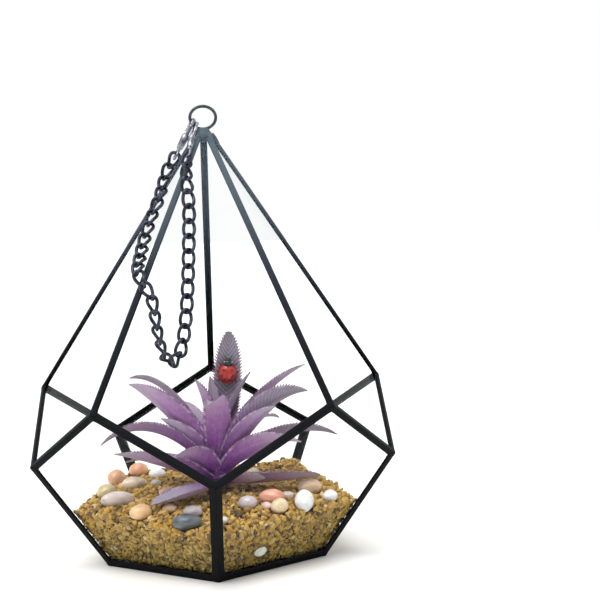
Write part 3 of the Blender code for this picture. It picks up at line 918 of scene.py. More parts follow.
@dataclass
class Peak:
    """The solder blob where the ribs meet, and the hanging ring in it."""

    skeleton: Skeleton
    ring_centre: Vector = field(default_factory=lambda: Vector((0.0, 0.0, 235.8)) * MM)
    half_width: float = 6.9 * MM
    half_height: float = 6.0 * MM
    wire: float = 1.7 * MM
    # The blob's profile as (radius, height), in mm
    profile: tuple[tuple[float, float], ...] = (
        (3.0, 223.0), (5.0, 225.0), (4.8, 227.0), (3.6, 228.8), (2.6, 230.5))
    # A lobe runs down each rib: how far along it starts, how far it sinks, its radius, reaches and sizes
    lobe_start: float = 8.0 * MM
    lobe_drop: float = 1.2 * MM
    lobe: float = 1.2 * MM
    lobe_reaches: tuple[float, ...] = (0.0, 2.5, 5.0, 7.5)
    lobe_sizes: tuple[float, ...] = (1.0, 1.12, 0.95, 0.5)

    def ring_point(self, degrees: float) -> Vector:
        """A point on the middle line of the ring's wire.

        Args:
            degrees: its angle, counterclockwise from the right.

        Returns:
            The point.
        """
        turn = math.radians(degrees)
        way = Vector((self.half_width * math.cos(turn), 0, self.half_height * math.sin(turn)))
        return self.ring_centre + way

    def build(self) -> None:
        """The blob and the ring."""
        points = [self.ring_point(5 * step) for step in range(72)]
        sizes = [1.0 + 0.03 * noise.noise(point * 400) for point in points]
        fit("ring_wire", wire(points, self.wire, True, sizes), [RING_STEEL], Slot.PAINT, "hanging_ring")
        work = bmesh.new()
        turned(work, Vector(), self.profile, 16)
        apex = self.skeleton.corners["apex"]
        lobes = []
        for number in range(self.skeleton.sides):
            rib = (self.skeleton.corners[f"shoulder{number}"] - apex).normalized()
            start = apex + rib * self.lobe_start - UP * self.lobe_drop
            line = [start + rib * reach * MM for reach in self.lobe_reaches]
            lobes.append(wire(line, 2 * self.lobe, False, self.lobe_sizes))
        mesh = molten(joined([settled(work), *lobes]), 0.28 * MM, 4)
        fit("solder_peak", mesh, [PATINA_AND_SHEEN], Slot.PAINT, "apex_cap")


@dataclass
class Chain:
    """The chain: from the left clasp outside the glass, over the rib, down in a loop, to the right clasp."""

    wire: float = 1.82 * MM
    half_width: float = 2.83 * MM
    twist: float = 1.15 * MM
    hooked: float = 0.90 * MM
    links: int = 33
    outer_links: int = 8
    points: int = 30
    lowest: float = 108.9 * MM
    # How far the links are turned about the chain's line, as (link number, degrees)
    turns: tuple[tuple[float, float], ...] = (
        (0, 30), (5, 40), (8, 20), (12, 35), (16, 60), (18, 35), (20, 10), (25, 0), (29, 15), (32, 50),
    )
    outer_route: tuple[Color, ...] = (
        (-14.65, -3.1, 216.4), (-19.9, 0.1, 208.6), (-23.9, -11.9, 194.4), (-26.3, -13.6, 189.6),
        (-28.3, -17.7, 184.1), (-30.4, -21.8, 178.3), (-32.2, -27.2, 172.3), (-33.4, -32.5, 167.6),
        (-34.2, -38.5, 163.4), (-35.2, -45.2, 159.3), (-35.0, -51.5, 155.1), (-31.4, -54.0, 149.4),
        (-28.1, -52.1, 142.8),
    )
    right_route: tuple[Color, ...] = (
        (-8.6, -25.8, 188.8), (-9.1, -24.9, 195.2), (-9.5, -21.9, 202.1), (-9.5, -17.6, 209.5),
        (-8.2, -13.4, 217.0),
    )

    def smooth(self, route: Sequence[Color]) -> list[Vector]:
        """A fine line on a smooth curve through some points.

        Args:
            route: the points, in mm.

        Returns:
            The line.
        """
        knots = [Vector(point) * MM for point in route]
        padded = [knots[0] * 2 - knots[1], *knots, knots[-1] * 2 - knots[-2]]
        line: list[Vector] = []
        for before, start, end, after in zip(padded, padded[1:], padded[2:], padded[3:]):
            line += interpolate_bezier(start, start + (end - before) / 6, end - (after - start) / 6, end, 12)
        return line

    def hanging(self, left: Vector, right: Vector) -> list[Vector]:
        """A fine line on the catenary between two supports, down to the loop's lowest height.

        Args:
            left: the support where it begins.
            right: the support where it ends.

        Returns:
            The line.
        """
        span = Vector((right.x - left.x, right.y - left.y, 0))
        low, high = 0.01 * MM, 1.0
        for _ in range(60):
            scale = (low + high) / 2
            runs = [scale * math.acosh(1 + (end.z - self.lowest) / scale) for end in (left, right)]
            low, high = (scale, high) if sum(runs) < span.length else (low, scale)
        line = []
        for step in range(121):
            run = span.length * step / 120
            height = self.lowest + scale * (math.cosh((run - runs[0]) / scale) - 1)
            line.append(Vector((left.x, left.y, height)) + span * step / 120)
        return line

    def joints(self, line: Sequence[Vector]) -> list[Vector]:
        """The joints of equal links along a line, from its start to its end.

        Args:
            line: the line.

        Returns:
            The joints, one more than there are links.
        """
        low, high = 0.0, 20 * MM
        for _ in range(40):
            pitch = (low + high) / 2
            found = [line[0]]
            for near, far in zip(line, line[1:]):
                while (far - found[-1]).length >= pitch and len(found) <= self.links:
                    left = (near - found[-1]).length
                    share = (pitch - left) / ((far - found[-1]).length - left)
                    found.append(near.lerp(far, min(max(share, 0), 1)))
            low, high = (pitch, high) if len(found) > self.links else (low, pitch)
        return [*found[: self.links], line[-1]]

    def link(self, start: Vector, end: Vector, turn: float) -> bpy.types.Mesh:
        """One twisted oval link, which hooks into its neighbours at both joints.

        Args:
            start: the joint where it begins.
            end: the joint where it ends.
            turn: how far it is turned about the chain's line, in degrees.

        Returns:
            The link's mesh.
        """
        along = (end - start).normalized()
        facing = Matrix.Rotation(math.radians(turn), 3, along) @ beside(Vector((0, -1, 0)), along)
        across = facing.cross(along)
        half = (end - start).length / 2 + self.hooked
        points = []
        for step in range(self.points):
            place = math.tau * step / self.points
            flat = along * half * math.cos(place) + across * self.half_width * math.sin(place)
            points.append((start + end) / 2 + flat + facing * self.twist * math.sin(2 * place))
        return wire(points, self.wire, True)

    def build(self) -> None:
        """Both stretches of the chain."""
        outer, right = self.smooth(self.outer_route), self.smooth(self.right_route)
        stops = self.joints([*outer, *self.hanging(outer[-1], right[0]), *right])
        turns = np.interp(range(self.links), *zip(*self.turns))
        links = [self.link(*joint) for joint in zip(stops, stops[1:], turns.tolist())]
        for name, part in (("outer", links[: self.outer_links]), ("loop", links[self.outer_links :])):
            fit(f"chain_{name}_links", joined(part), [CHAIN_STEEL], Slot.STEEL, f"chain_{name}")


@dataclass
class Clasp:
    """A lobster clasp: a claw round the ring, a sprung lever, a body and an eye for the chain."""

    name: str
    hook: Vector
    tail: Vector
    normal: Vector = field(default_factory=lambda: Vector((0.87, 0.166, -0.463)))
    claw: float = 1.55 * MM
    lever: float = 1.15 * MM
    eye: float = 1.3 * MM
    body: float = 3.9 * MM
    collar: float = 3.3 * MM
    knob: float = 0.8 * MM
    eye_radius: float = 2.35
    flatten: float = 1.5
    # Middle lines as (along, across) from the hook, in mm
    claw_line: tuple[tuple[float, float], ...] = (
        (8.2, 1.0), (6.6, 1.9), (4.4, 2.3), (2.0, 2.35), (0.2, 2.25), (-1.3, 1.75), (-2.15, 0.8),
        (-2.2, -0.4), (-1.6, -1.5), (-0.4, -2.15), (0.9, -2.3))
    lever_line: tuple[tuple[float, float], ...] = (
        (1.3, -2.3), (3.0, -2.35), (5.0, -2.3), (6.6, -1.9), (8.0, -1.1))
    knob_line: tuple[tuple[float, float], ...] = ((4.9, -2.35), (5.3, -2.75), (5.8, -2.85))

    def build(self) -> None:
        """The clasp's piece."""
        length = (self.tail - self.hook).length / MM
        turns = [math.tau * step / 20 for step in range(20)]
        reach = self.eye_radius
        eye = [(length + 0.3 + reach * math.cos(turn), reach * math.sin(turn)) for turn in turns]
        body = [(x, 0.0) for x in (6.6, 7.6, 9.0, length - 4.6, length - 3.2, length - 1.8)]
        collar = [(length - 4.2, 0.0), (length - 3.6, 0.0)]
        shapes = [
            (self.claw_line, self.claw, False, (0.9, 1.0, 1.0, 1.0, 1.05, 1.1, 1.1, 1.1, 1.0, 0.85, 0.55)),
            (self.lever_line, self.lever, False, (0.9, 1.0, 1.0, 1.15, 1.0)),
            (eye, self.eye, True, None),
            (body, self.body, False, (0.7, 1.0, 1.05, 0.9, 0.65, 0.5)),
            (collar, self.collar, False, (1.0, 1.0)),
            (self.knob_line, self.knob, False, (1.0, 1.0, 0.8)),
        ]
        meshes = [
            wire([Vector((x * MM, y * MM, 0)) for x, y in line], thick, closed, sizes)
            for line, thick, closed, sizes in shapes
        ]
        for mesh in meshes[:2]:
            mesh.transform(Matrix.Diagonal((1, 1, self.flatten, 1)))
        whole = joined(meshes)
        along = (self.tail - self.hook).normalized()
        upright = beside(self.normal, along)
        whole.transform(posed(self.hook, along, upright.cross(along), upright))
        fit(f"{self.name}_hook", whole, [CLASP_SILVER], Slot.SILVER, self.name)


@dataclass
class GravelBed:
    """Gravel that fills the base: a core painted dark as shade, and grains on its top, along the glass and
    underneath.
    """

    skeleton: Skeleton
    level: float = 34.0 * MM
    dip: float = 8.5 * MM
    dip_start: float = 25.0 * MM
    dip_end: float = 70.0 * MM
    mound: float = 1.2 * MM
    mound_span: float = 28.0 * MM
    pitch: float = 2.05 * MM
    # Layers on top: name, pitch as a multiple, grain size and lift
    layers: tuple[tuple[str, float, float, float], ...] = (
        ("gravel_top", 1.0, 2.6 * MM, -0.8 * MM), ("gravel_strewn", 1.7, 3.1 * MM, 0.0))
    jitter: float = 0.45 * MM
    # How far the top's grains keep off the glass: at the mean height, and at their own
    top_in: tuple[float, float] = (1.8 * MM, 1.9 * MM)
    # Grains in front of this have more faces
    fine_limit: float = 12.0 * MM
    # Grains at the side panes: how far past the corners and under the top, how deep in, how far over
    # the floor, their size and thickness
    wall_past: float = 0.7 * MM
    wall_below: float = 0.3 * MM
    wall_in: tuple[float, float] = (1.0 * MM, 1.4 * MM)
    wall_lift: float = 1.0 * MM
    wall_band: float = 50.0 * MM
    wall_size: float = 2.45 * MM
    wall_thick: tuple[float, float] = (0.95 * MM, 1.2 * MM)
    # How low a grain at the glass lies: its share at the bottom, and the height over which 1 is lost
    low_share: float = 1.15
    low_fall: float = 26.0 * MM
    # Grains on the floor pane: size, thickness, height of their middles, how far in from the sides
    floor_size: float = 3.2 * MM
    floor_thick: tuple[float, float] = (0.75 * MM, 1.0 * MM)
    floor_lift: float = 0.95 * MM
    floor_margin: float = 2.6 * MM
    # The core: rings of its top, how far under the top and in from the glass it lies, and its bumps
    rings: int = 24
    sink: float = 1.5 * MM
    core_in: float = 2.2 * MM
    core_bump: float = 0.35 * MM
    # Heaps and hollows: middle (x, y), reach and rise, in mm
    heaps: tuple[tuple[tuple[float, float], float, float], ...] = (
        ((74, -24), 22, -3.6), ((-74, -24), 22, -2.6), ((44, 60), 15, 2.6))
    seed: int = 11
    hollows: list[Callable[[np.ndarray], np.ndarray]] = field(default_factory=list)

    def height(self, spot: Vector) -> float:
        """The gravel's mean height at a spot, before its grains.

        Args:
            spot: the spot, whose own height doesn't count.

        Returns:
            The height.
        """
        share = min(max((-spot.y - self.dip_start) / (self.dip_end - self.dip_start), 0), 1)
        mounds = self.mound * noise.noise(Vector((spot.x, spot.y, 0)) / self.mound_span)
        for middle, reach, rise in self.heaps:
            away = (Vector((spot.x, spot.y)) - Vector(middle) * MM).length / (reach * MM)
            mounds += rise * MM * math.exp(-away * away)
        return self.level - self.dip * share * share * (3 - 2 * share) + mounds

    def inside(self, spots: np.ndarray, radius: float) -> np.ndarray:
        """Which spots lie in a pentagon about the middle.

        Args:
            spots: the spots, one a row.
            radius: the pentagon's corner radius.

        Returns:
            True for each that does.
        """
        flat = radius * math.cos(math.pi / self.skeleton.sides)
        keep = np.ones(len(spots), bool)
        for number in range(self.skeleton.sides):
            turn = math.radians(self.skeleton.sector(number + 0.5))
            keep &= spots[:, 0] * math.cos(turn) + spots[:, 1] * math.sin(turn) < flat
        return keep

    def lattice(self, width: float, height: float, pitch: float, draw: np.random.Generator) -> np.ndarray:
        """Jittered points on a triangular lattice over a rectangle about the origin.

        Args:
            width: the rectangle's width.
            height: the rectangle's height.
            pitch: the distance between points.
            draw: the source of random numbers.

        Returns:
            The points, one (x, y) a row.
        """
        rows = np.arange(-height / 2, height / 2 + pitch, pitch * math.sqrt(3) / 2)
        columns = np.arange(-width / 2, width / 2 + pitch, pitch)
        x, y = np.meshgrid(columns, rows)
        x = x + (np.arange(len(rows)) % 2)[:, None] * pitch / 2
        spots = np.stack([x.ravel(), y.ravel()], 1)
        return spots + draw.uniform(-0.3, 0.3, spots.shape) * pitch

    def grains(
        self, name: str, centres: np.ndarray, sizes: np.ndarray, turns: np.ndarray, low: np.ndarray,
        fine: bool, draw: np.random.Generator,
    ) -> None:
        """Many separate angular grains as one piece.

        Args:
            name: the piece's name.
            centres: the grains' middles.
            sizes: half their sizes along their own axes.
            turns: their rotation matrices.
            low: how far down behind the glass each lies, 0 to 1.
            fine: whether each grain has 80 faces, and not 20.
            draw: the source of random numbers.
        """
        keep = np.ones(len(centres), bool)
        for hollow in self.hollows:
            keep &= ~hollow(centres)
        centres, sizes, turns, low = centres[keep], sizes[keep], turns[keep], low[keep]
        work = bmesh.new()
        bmesh.ops.create_icosphere(work, subdivisions=1 + fine, radius=1)
        shape = np.array([vertex.co for vertex in work.verts])
        corners = np.array([[vertex.index for vertex in face.verts] for face in work.faces])
        work.free()
        count, points = len(centres), len(shape)
        # A grain is a ball cut by a few flat chips, then stretched and turned
        ball = np.repeat(shape[None], count, 0)
        for _ in range(5):
            way = draw.normal(size=(count, 1, 3))
            way /= np.linalg.norm(way, axis=2, keepdims=True)
            reach = draw.uniform(0.48, 0.82, (count, 1))
            over = np.maximum((ball * way).sum(2) - reach, 0)
            ball -= over[..., None] * way
        ball *= 1 + draw.uniform(-0.06, 0.06, (count, points, 1))
        verts = np.einsum("nij,npj->npi", turns, ball * sizes[:, None]) + centres[:, None]
        faces = (corners[None] + np.arange(count)[:, None, None] * points).reshape(-1, 3)
        mesh = bpy.data.meshes.new(name)
        mesh.vertices.add(count * points)
        mesh.vertices.foreach_set("co", verts.astype(np.float32).ravel())
        mesh.loops.add(faces.size)
        mesh.loops.foreach_set("vertex_index", faces.astype(np.int32).ravel())
        mesh.polygons.add(len(faces))
        mesh.polygons.foreach_set("loop_start", np.arange(0, faces.size, 3, dtype=np.int32))
        mesh.update(calc_edges=True)
        for mark, values in (("tone", draw.beta(1.45, 1.35, count)), ("low", low)):
            marked(mesh, mark, np.repeat(values, points).astype(np.float32))
        mesh.shade_smooth()
        mesh.set_sharp_from_angle(angle=math.radians(30))
        fit(name, mesh, [GRAINS], Slot.GRAVEL)

    def rotations(self, count: int, draw: np.random.Generator) -> np.ndarray:
        """Random rotation matrices."""
        spins = [Quaternion(row).normalized().to_matrix() for row in draw.normal(size=(count, 4))]
        return np.array(spins)

    def halves(self, count: int, size: float, draw: np.random.Generator) -> np.ndarray:
        """Half the sizes of some grains, which are longer than wide.

        Args:
            count: how many grains.
            size: their usual size.
            draw: the source of random numbers.

        Returns:
            The sizes along each grain's axes.
        """
        whole = size * np.exp(draw.normal(0, 0.24, (count, 1)))
        spans = ((1.0, 1.45), (0.85, 1.1), (0.65, 0.95))
        return whole / 2 * np.stack([draw.uniform(*span, count) for span in spans], 1)

    def top(self, draw: np.random.Generator) -> None:
        """The grains that the surface shows: an even layer, and coarser ones strewn on it.

        Args:
            draw: the source of random numbers.
        """
        bones = self.skeleton
        for name, spread, size, lift in self.layers:
            spots = self.lattice(170 * MM, 170 * MM, self.pitch * spread, draw)
            spots = spots[self.inside(spots, bones.wall_radius(self.level - self.dip / 2) - self.top_in[0])]
            heights = np.array([self.height(Vector((x, y, 0))) for x, y in spots])
            heights += lift + draw.uniform(-self.jitter, self.jitter, len(spots))
            centres = np.column_stack([spots, heights])
            centres = np.array([
                centre for centre in centres
                if self.inside(centre[None], bones.wall_radius(centre[2]) - self.top_in[1])[0]])
            for part, fine in (("front", True), ("back", False)):
                some = centres[(centres[:, 1] < self.fine_limit) == fine]
                sizes = self.halves(len(some), size, draw)
                turns = self.rotations(len(some), draw)
                self.grains(f"{name}_{part}", some, sizes, turns, np.zeros(len(some)), fine, draw)

    def walls(self, draw: np.random.Generator) -> None:
        """The grains that press against the five side panes.

        Args:
            draw: the source of random numbers.
        """
        bones = self.skeleton
        floor = bones.inner_depth + bones.gap
        for number in range(bones.sides):
            centres, turns, low = [], [], []
            ends = [around(1, 0, bones.sector(number + step)) for step in (0, 1)]
            out = bones.normal(f"side{number}")
            slant = beside(ends[0] * (bones.wall_radius(1.0) - bones.wall_radius(0.0)) + UP, out)
            level = (ends[1] - ends[0]).normalized()
            for across, up in self.lattice(125 * MM, self.wall_band, self.pitch, draw):
                height = floor + (up + self.wall_band / 2) * slant.z + self.wall_lift
                radius = bones.wall_radius(height)
                spot = (ends[0] + ends[1]) / 2 * radius + level * across + UP * height
                half = (ends[1] - ends[0]).length / 2 * radius
                if abs(across) > half + self.wall_past or height > self.height(spot) - self.wall_below:
                    continue
                centres.append(spot - out * draw.uniform(*self.wall_in))
                spin = Matrix.Rotation(draw.uniform(0, math.tau), 3, out)
                turns.append(np.array((spin @ level, spin @ out.cross(level), out)).T)
                low.append(min(max(self.low_share - height / self.low_fall, 0), 1))
            sizes = self.halves(len(centres), self.wall_size, draw)
            sizes[:, 2] = draw.uniform(*self.wall_thick, len(centres))
            self.grains(
                f"gravel_wall_{number + 1}", np.array(centres), sizes, np.array(turns), np.array(low),
                True, draw)

    def floor(self, draw: np.random.Generator) -> None:
        """The flat grains over the floor pane.

        Args:
            draw: the source of random numbers.
        """
        bones = self.skeleton
        floor = bones.inner_depth + bones.gap
        spots = self.lattice(130 * MM, 130 * MM, self.pitch * 1.3, draw)
        spots = spots[self.inside(spots, bones.wall_radius(floor) - self.floor_margin)]
        count = len(spots)
        centres = np.column_stack([spots, np.full(count, floor + self.floor_lift)])
        sizes = self.halves(count, self.floor_size, draw)
        sizes[:, 2] = draw.uniform(*self.floor_thick, count)
        turns = np.array([Matrix.Rotation(spin, 3, "Z") for spin in draw.uniform(0, math.tau, count)])
        self.grains("gravel_floor", centres, sizes, turns, np.ones(count), False, draw)

    def core(self) -> None:
        """The mass under the grains, whose own surface shows only in the chinks between them, darkened as
        painted shade.
        """
        bones = self.skeleton
        work = bmesh.new()
        corners = [around(1, 0, bones.sector(number)) for number in range(bones.sides + 1)]
        rows = []
        for ring in range(self.rings + 1):
            row = []
            for step in range(max(1, bones.sides * ring)):
                side, along = divmod(step, max(1, ring))
                unit = corners[side].lerp(corners[side + 1], along / max(1, ring)) * (ring / self.rings)
                height = self.height(unit * bones.wall_radius(self.level)) - self.sink
                height += self.core_bump * noise.noise(unit * 60)
                row.append(work.verts.new(unit * (bones.wall_radius(height) - self.core_in) + UP * height))
            rows.append(row)
        for ring, (inner, outer) in enumerate(zip(rows, rows[1:])):
            for side in range(bones.sides):
                for along in range(ring + 1):
                    near, far = side * ring + along, side * (ring + 1) + along
                    after = outer[(far + 1) % len(outer)]
                    work.faces.new([outer[far], after, inner[near % len(inner)]])
                    if along < ring:
                        work.faces.new([inner[near], after, inner[(near + 1) % len(inner)]])
        floor = bones.inner_depth + bones.gap + 0.8 * MM
        bottom = []
        for x, y, z in (vertex.co for vertex in rows[-1]):
            share = (bones.wall_radius(floor) - self.core_in) / (bones.wall_radius(z) - self.core_in)
            bottom.append(work.verts.new(Vector((x * share, y * share, floor))))
        lofted(work, [bottom, rows[-1]], 0)
        mesh = settled(work)
        # The low tone and the low mark darken the core: painted shade in the chinks between the grains
        for mark, value in (("tone", 0.20), ("low", 0.6)):
            marked(mesh, mark, [value] * len(mesh.vertices))
        fit("gravel_core", mesh, [GRAINS], Slot.GRAVEL, "gravel_bed")

    def build(self) -> None:
        """The core and all its grains."""
        draw = np.random.default_rng(self.seed)
        self.core()
        self.top(draw)
        self.walls(draw)
        self.floor(draw)


@dataclass
class Pebbles:
    """The river pebbles, which keep their solids, and a few smaller ones among them."""

    nodes: dict[str, bpy.types.Object]
    bed: GravelBed
    clearance: float = 0.9 * MM
    # The pebble that shows through the side pane, and how far the grains stay off it
    glass_pebble: int = 16
    glass_clearance: float = 1.5 * MM
    # Each solid pebble's color and the strength of its veins
    looks: tuple[tuple[Color, float], ...] = (
        ((0.72, 0.36, 0.20), 0.3), ((0.74, 0.74, 0.70), 0.2), ((0.66, 0.37, 0.21), 0.4),
        ((0.62, 0.50, 0.38), 0.3), ((0.50, 0.40, 0.20), 0.4), ((0.55, 0.45, 0.42), 0.5),
        ((0.70, 0.43, 0.20), 0.3), ((0.36, 0.31, 0.33), 0.5), ((0.045, 0.06, 0.075), 0.3),
        ((0.66, 0.29, 0.19), 0.4), ((0.66, 0.52, 0.32), 0.3), ((0.46, 0.40, 0.42), 0.4),
        ((0.74, 0.74, 0.73), 0.2), ((0.76, 0.76, 0.78), 0.1), ((0.68, 0.48, 0.32), 0.4),
        ((0.66, 0.68, 0.62), 0.2),
    )
    # Smaller pebbles: place (x, y), size (long, wide, tall) and turn, in mm and degrees, and color
    small: tuple[tuple[tuple[float, float], Color, float, Color], ...] = (
        ((-26, -4), (9.0, 6.5, 5.5), 20, (0.70, 0.40, 0.32)),
        ((-33, 20), (7.0, 5.5, 4.5), -30, (0.55, 0.50, 0.44)),
        ((22, 38), (8.0, 6.0, 5.0), 40, (0.62, 0.55, 0.46)),
        ((44, 24), (9.5, 7.0, 5.5), 10, (0.70, 0.48, 0.34)),
        ((2, 58), (9.0, 7.0, 5.5), 0, (0.60, 0.45, 0.30)),
        ((38, -22), (6.5, 5.0, 4.5), 15, (0.66, 0.60, 0.54)),
        ((3, -52), (6.0, 5.0, 4.5), 35, (0.62, 0.60, 0.55)),
        ((26, -40), (6.0, 4.5, 4.0), -20, (0.66, 0.46, 0.42)),
        ((-24, -38), (7.5, 5.5, 4.5), 5, (0.58, 0.40, 0.24)),
        ((-8, 34), (7.0, 5.5, 4.5), 60, (0.42, 0.38, 0.36)),
    )

    def ellipsoid(self, low: Vector, high: Vector, clearance: float) -> Callable[[np.ndarray], np.ndarray]:
        """A test of which points lie in the ellipsoid of a box, or near it.

        Args:
            low: the box's lowest corner.
            high: the box's highest corner.
            clearance: how far out of the ellipsoid the test reaches.

        Returns:
            The test.
        """
        middle, half = np.array((low + high) / 2), np.array((high - low) / 2) + clearance
        return lambda spots: (((spots - middle) / half) ** 2).sum(1) < 1

    def build(self) -> None:
        """Dress the solid pebbles, add the small ones, and tell the gravel where they lie."""
        for number, (color, veins) in enumerate(self.looks, 1):
            node = self.nodes[f"pebble_{number:02d}"]
            repaint(node, Stone(f"stone_{number:02d}", color, veins, 0.7 * number))
            weld(node)
            round_off = node.modifiers.new("round", "SUBSURF")
            round_off.levels = round_off.render_levels = 2
            clearance = self.glass_clearance if number == self.glass_pebble else self.clearance
            self.bed.hollows.append(self.ellipsoid(*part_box(node.name), clearance))
        for number, ((x, y), size, turn, color) in enumerate(self.small, 1):
            work = bmesh.new()
            bmesh.ops.create_icosphere(work, subdivisions=4, radius=1)
            for vertex in work.verts:
                swell = 1 + 0.16 * noise.noise(vertex.co * 1.2 + Vector((7.3 * number, 0, 0)))
                vertex.co = Vector([vertex.co[axis] * swell * size[axis] * MM / 2 for axis in range(3)])
            spot = Vector((x, y, 0)) * MM
            lift = UP * (self.bed.height(spot) + 0.22 * size[2] * MM)
            work.transform(Matrix.Translation(spot + lift) @ Matrix.Rotation(math.radians(turn), 4, "Z"))
            mesh = bpy.data.meshes.new("small")
            work.to_mesh(mesh)
            work.free()
            mesh.shade_smooth()
            stone = Stone(f"small_stone_{number:02d}", color, 0.35, 1.3 * number)
            made = fit(f"small_pebble_{number:02d}", mesh, [stone], Slot.PEBBLE)
            low, high = (Vector(corner(column) for column in zip(*made.bound_box)) for corner in (min, max))
            self.bed.hollows.append(self.ellipsoid(low, high, self.clearance))


@dataclass(frozen=True)
class LeafShape:
    """One leaf's curve, in mm and degrees, and how grey it is."""

    angle: float
    root: float
    control: tuple[float, float]
    tip: tuple[float, float]
    width: float
    swing: float
    roll: float
    grey: float = 0.0
    teeth: float = 1.0
    taper: float = 0.95
    narrowest: float = 0.3

    def outline(self, along: float) -> float:
        """The share of the full width at a fraction of the length."""
        return 1.02 * (1 - along) ** self.taper * (0.66 + 2.1 * along)

    def frame(self, along: float) -> tuple[Vector, Vector, Vector, Vector, float]:
        """The leaf's frame at a fraction of its length.

        Args:
            along: the fraction, from the root.

        Returns:
            The place, the directions along, across and out of the upper side, and half the width.
        """
        outward = around(1, 0, self.angle)
        points = [
            outward * 1.5 * MM + UP * self.root * MM,
            outward * self.control[0] * MM + UP * self.control[1] * MM,
            outward * self.tip[0] * MM + UP * self.tip[1] * MM + UP.cross(outward) * self.swing * MM,
        ]
        place = points[0] * (1 - along) ** 2 + points[1] * 2 * along * (1 - along) + points[2] * along**2
        heading = ((points[1] - points[0]) * (1 - along) + (points[2] - points[1]) * along).normalized()
        side = Matrix.Rotation(math.radians(self.roll) * min(3 * along, 1), 3, heading) @ UP.cross(outward)
        above = heading.cross(side).normalized()
        half = max(self.width / 2 * self.outline(along), self.narrowest) * MM
        return MIDDLE + place, heading, above.cross(heading), above, half


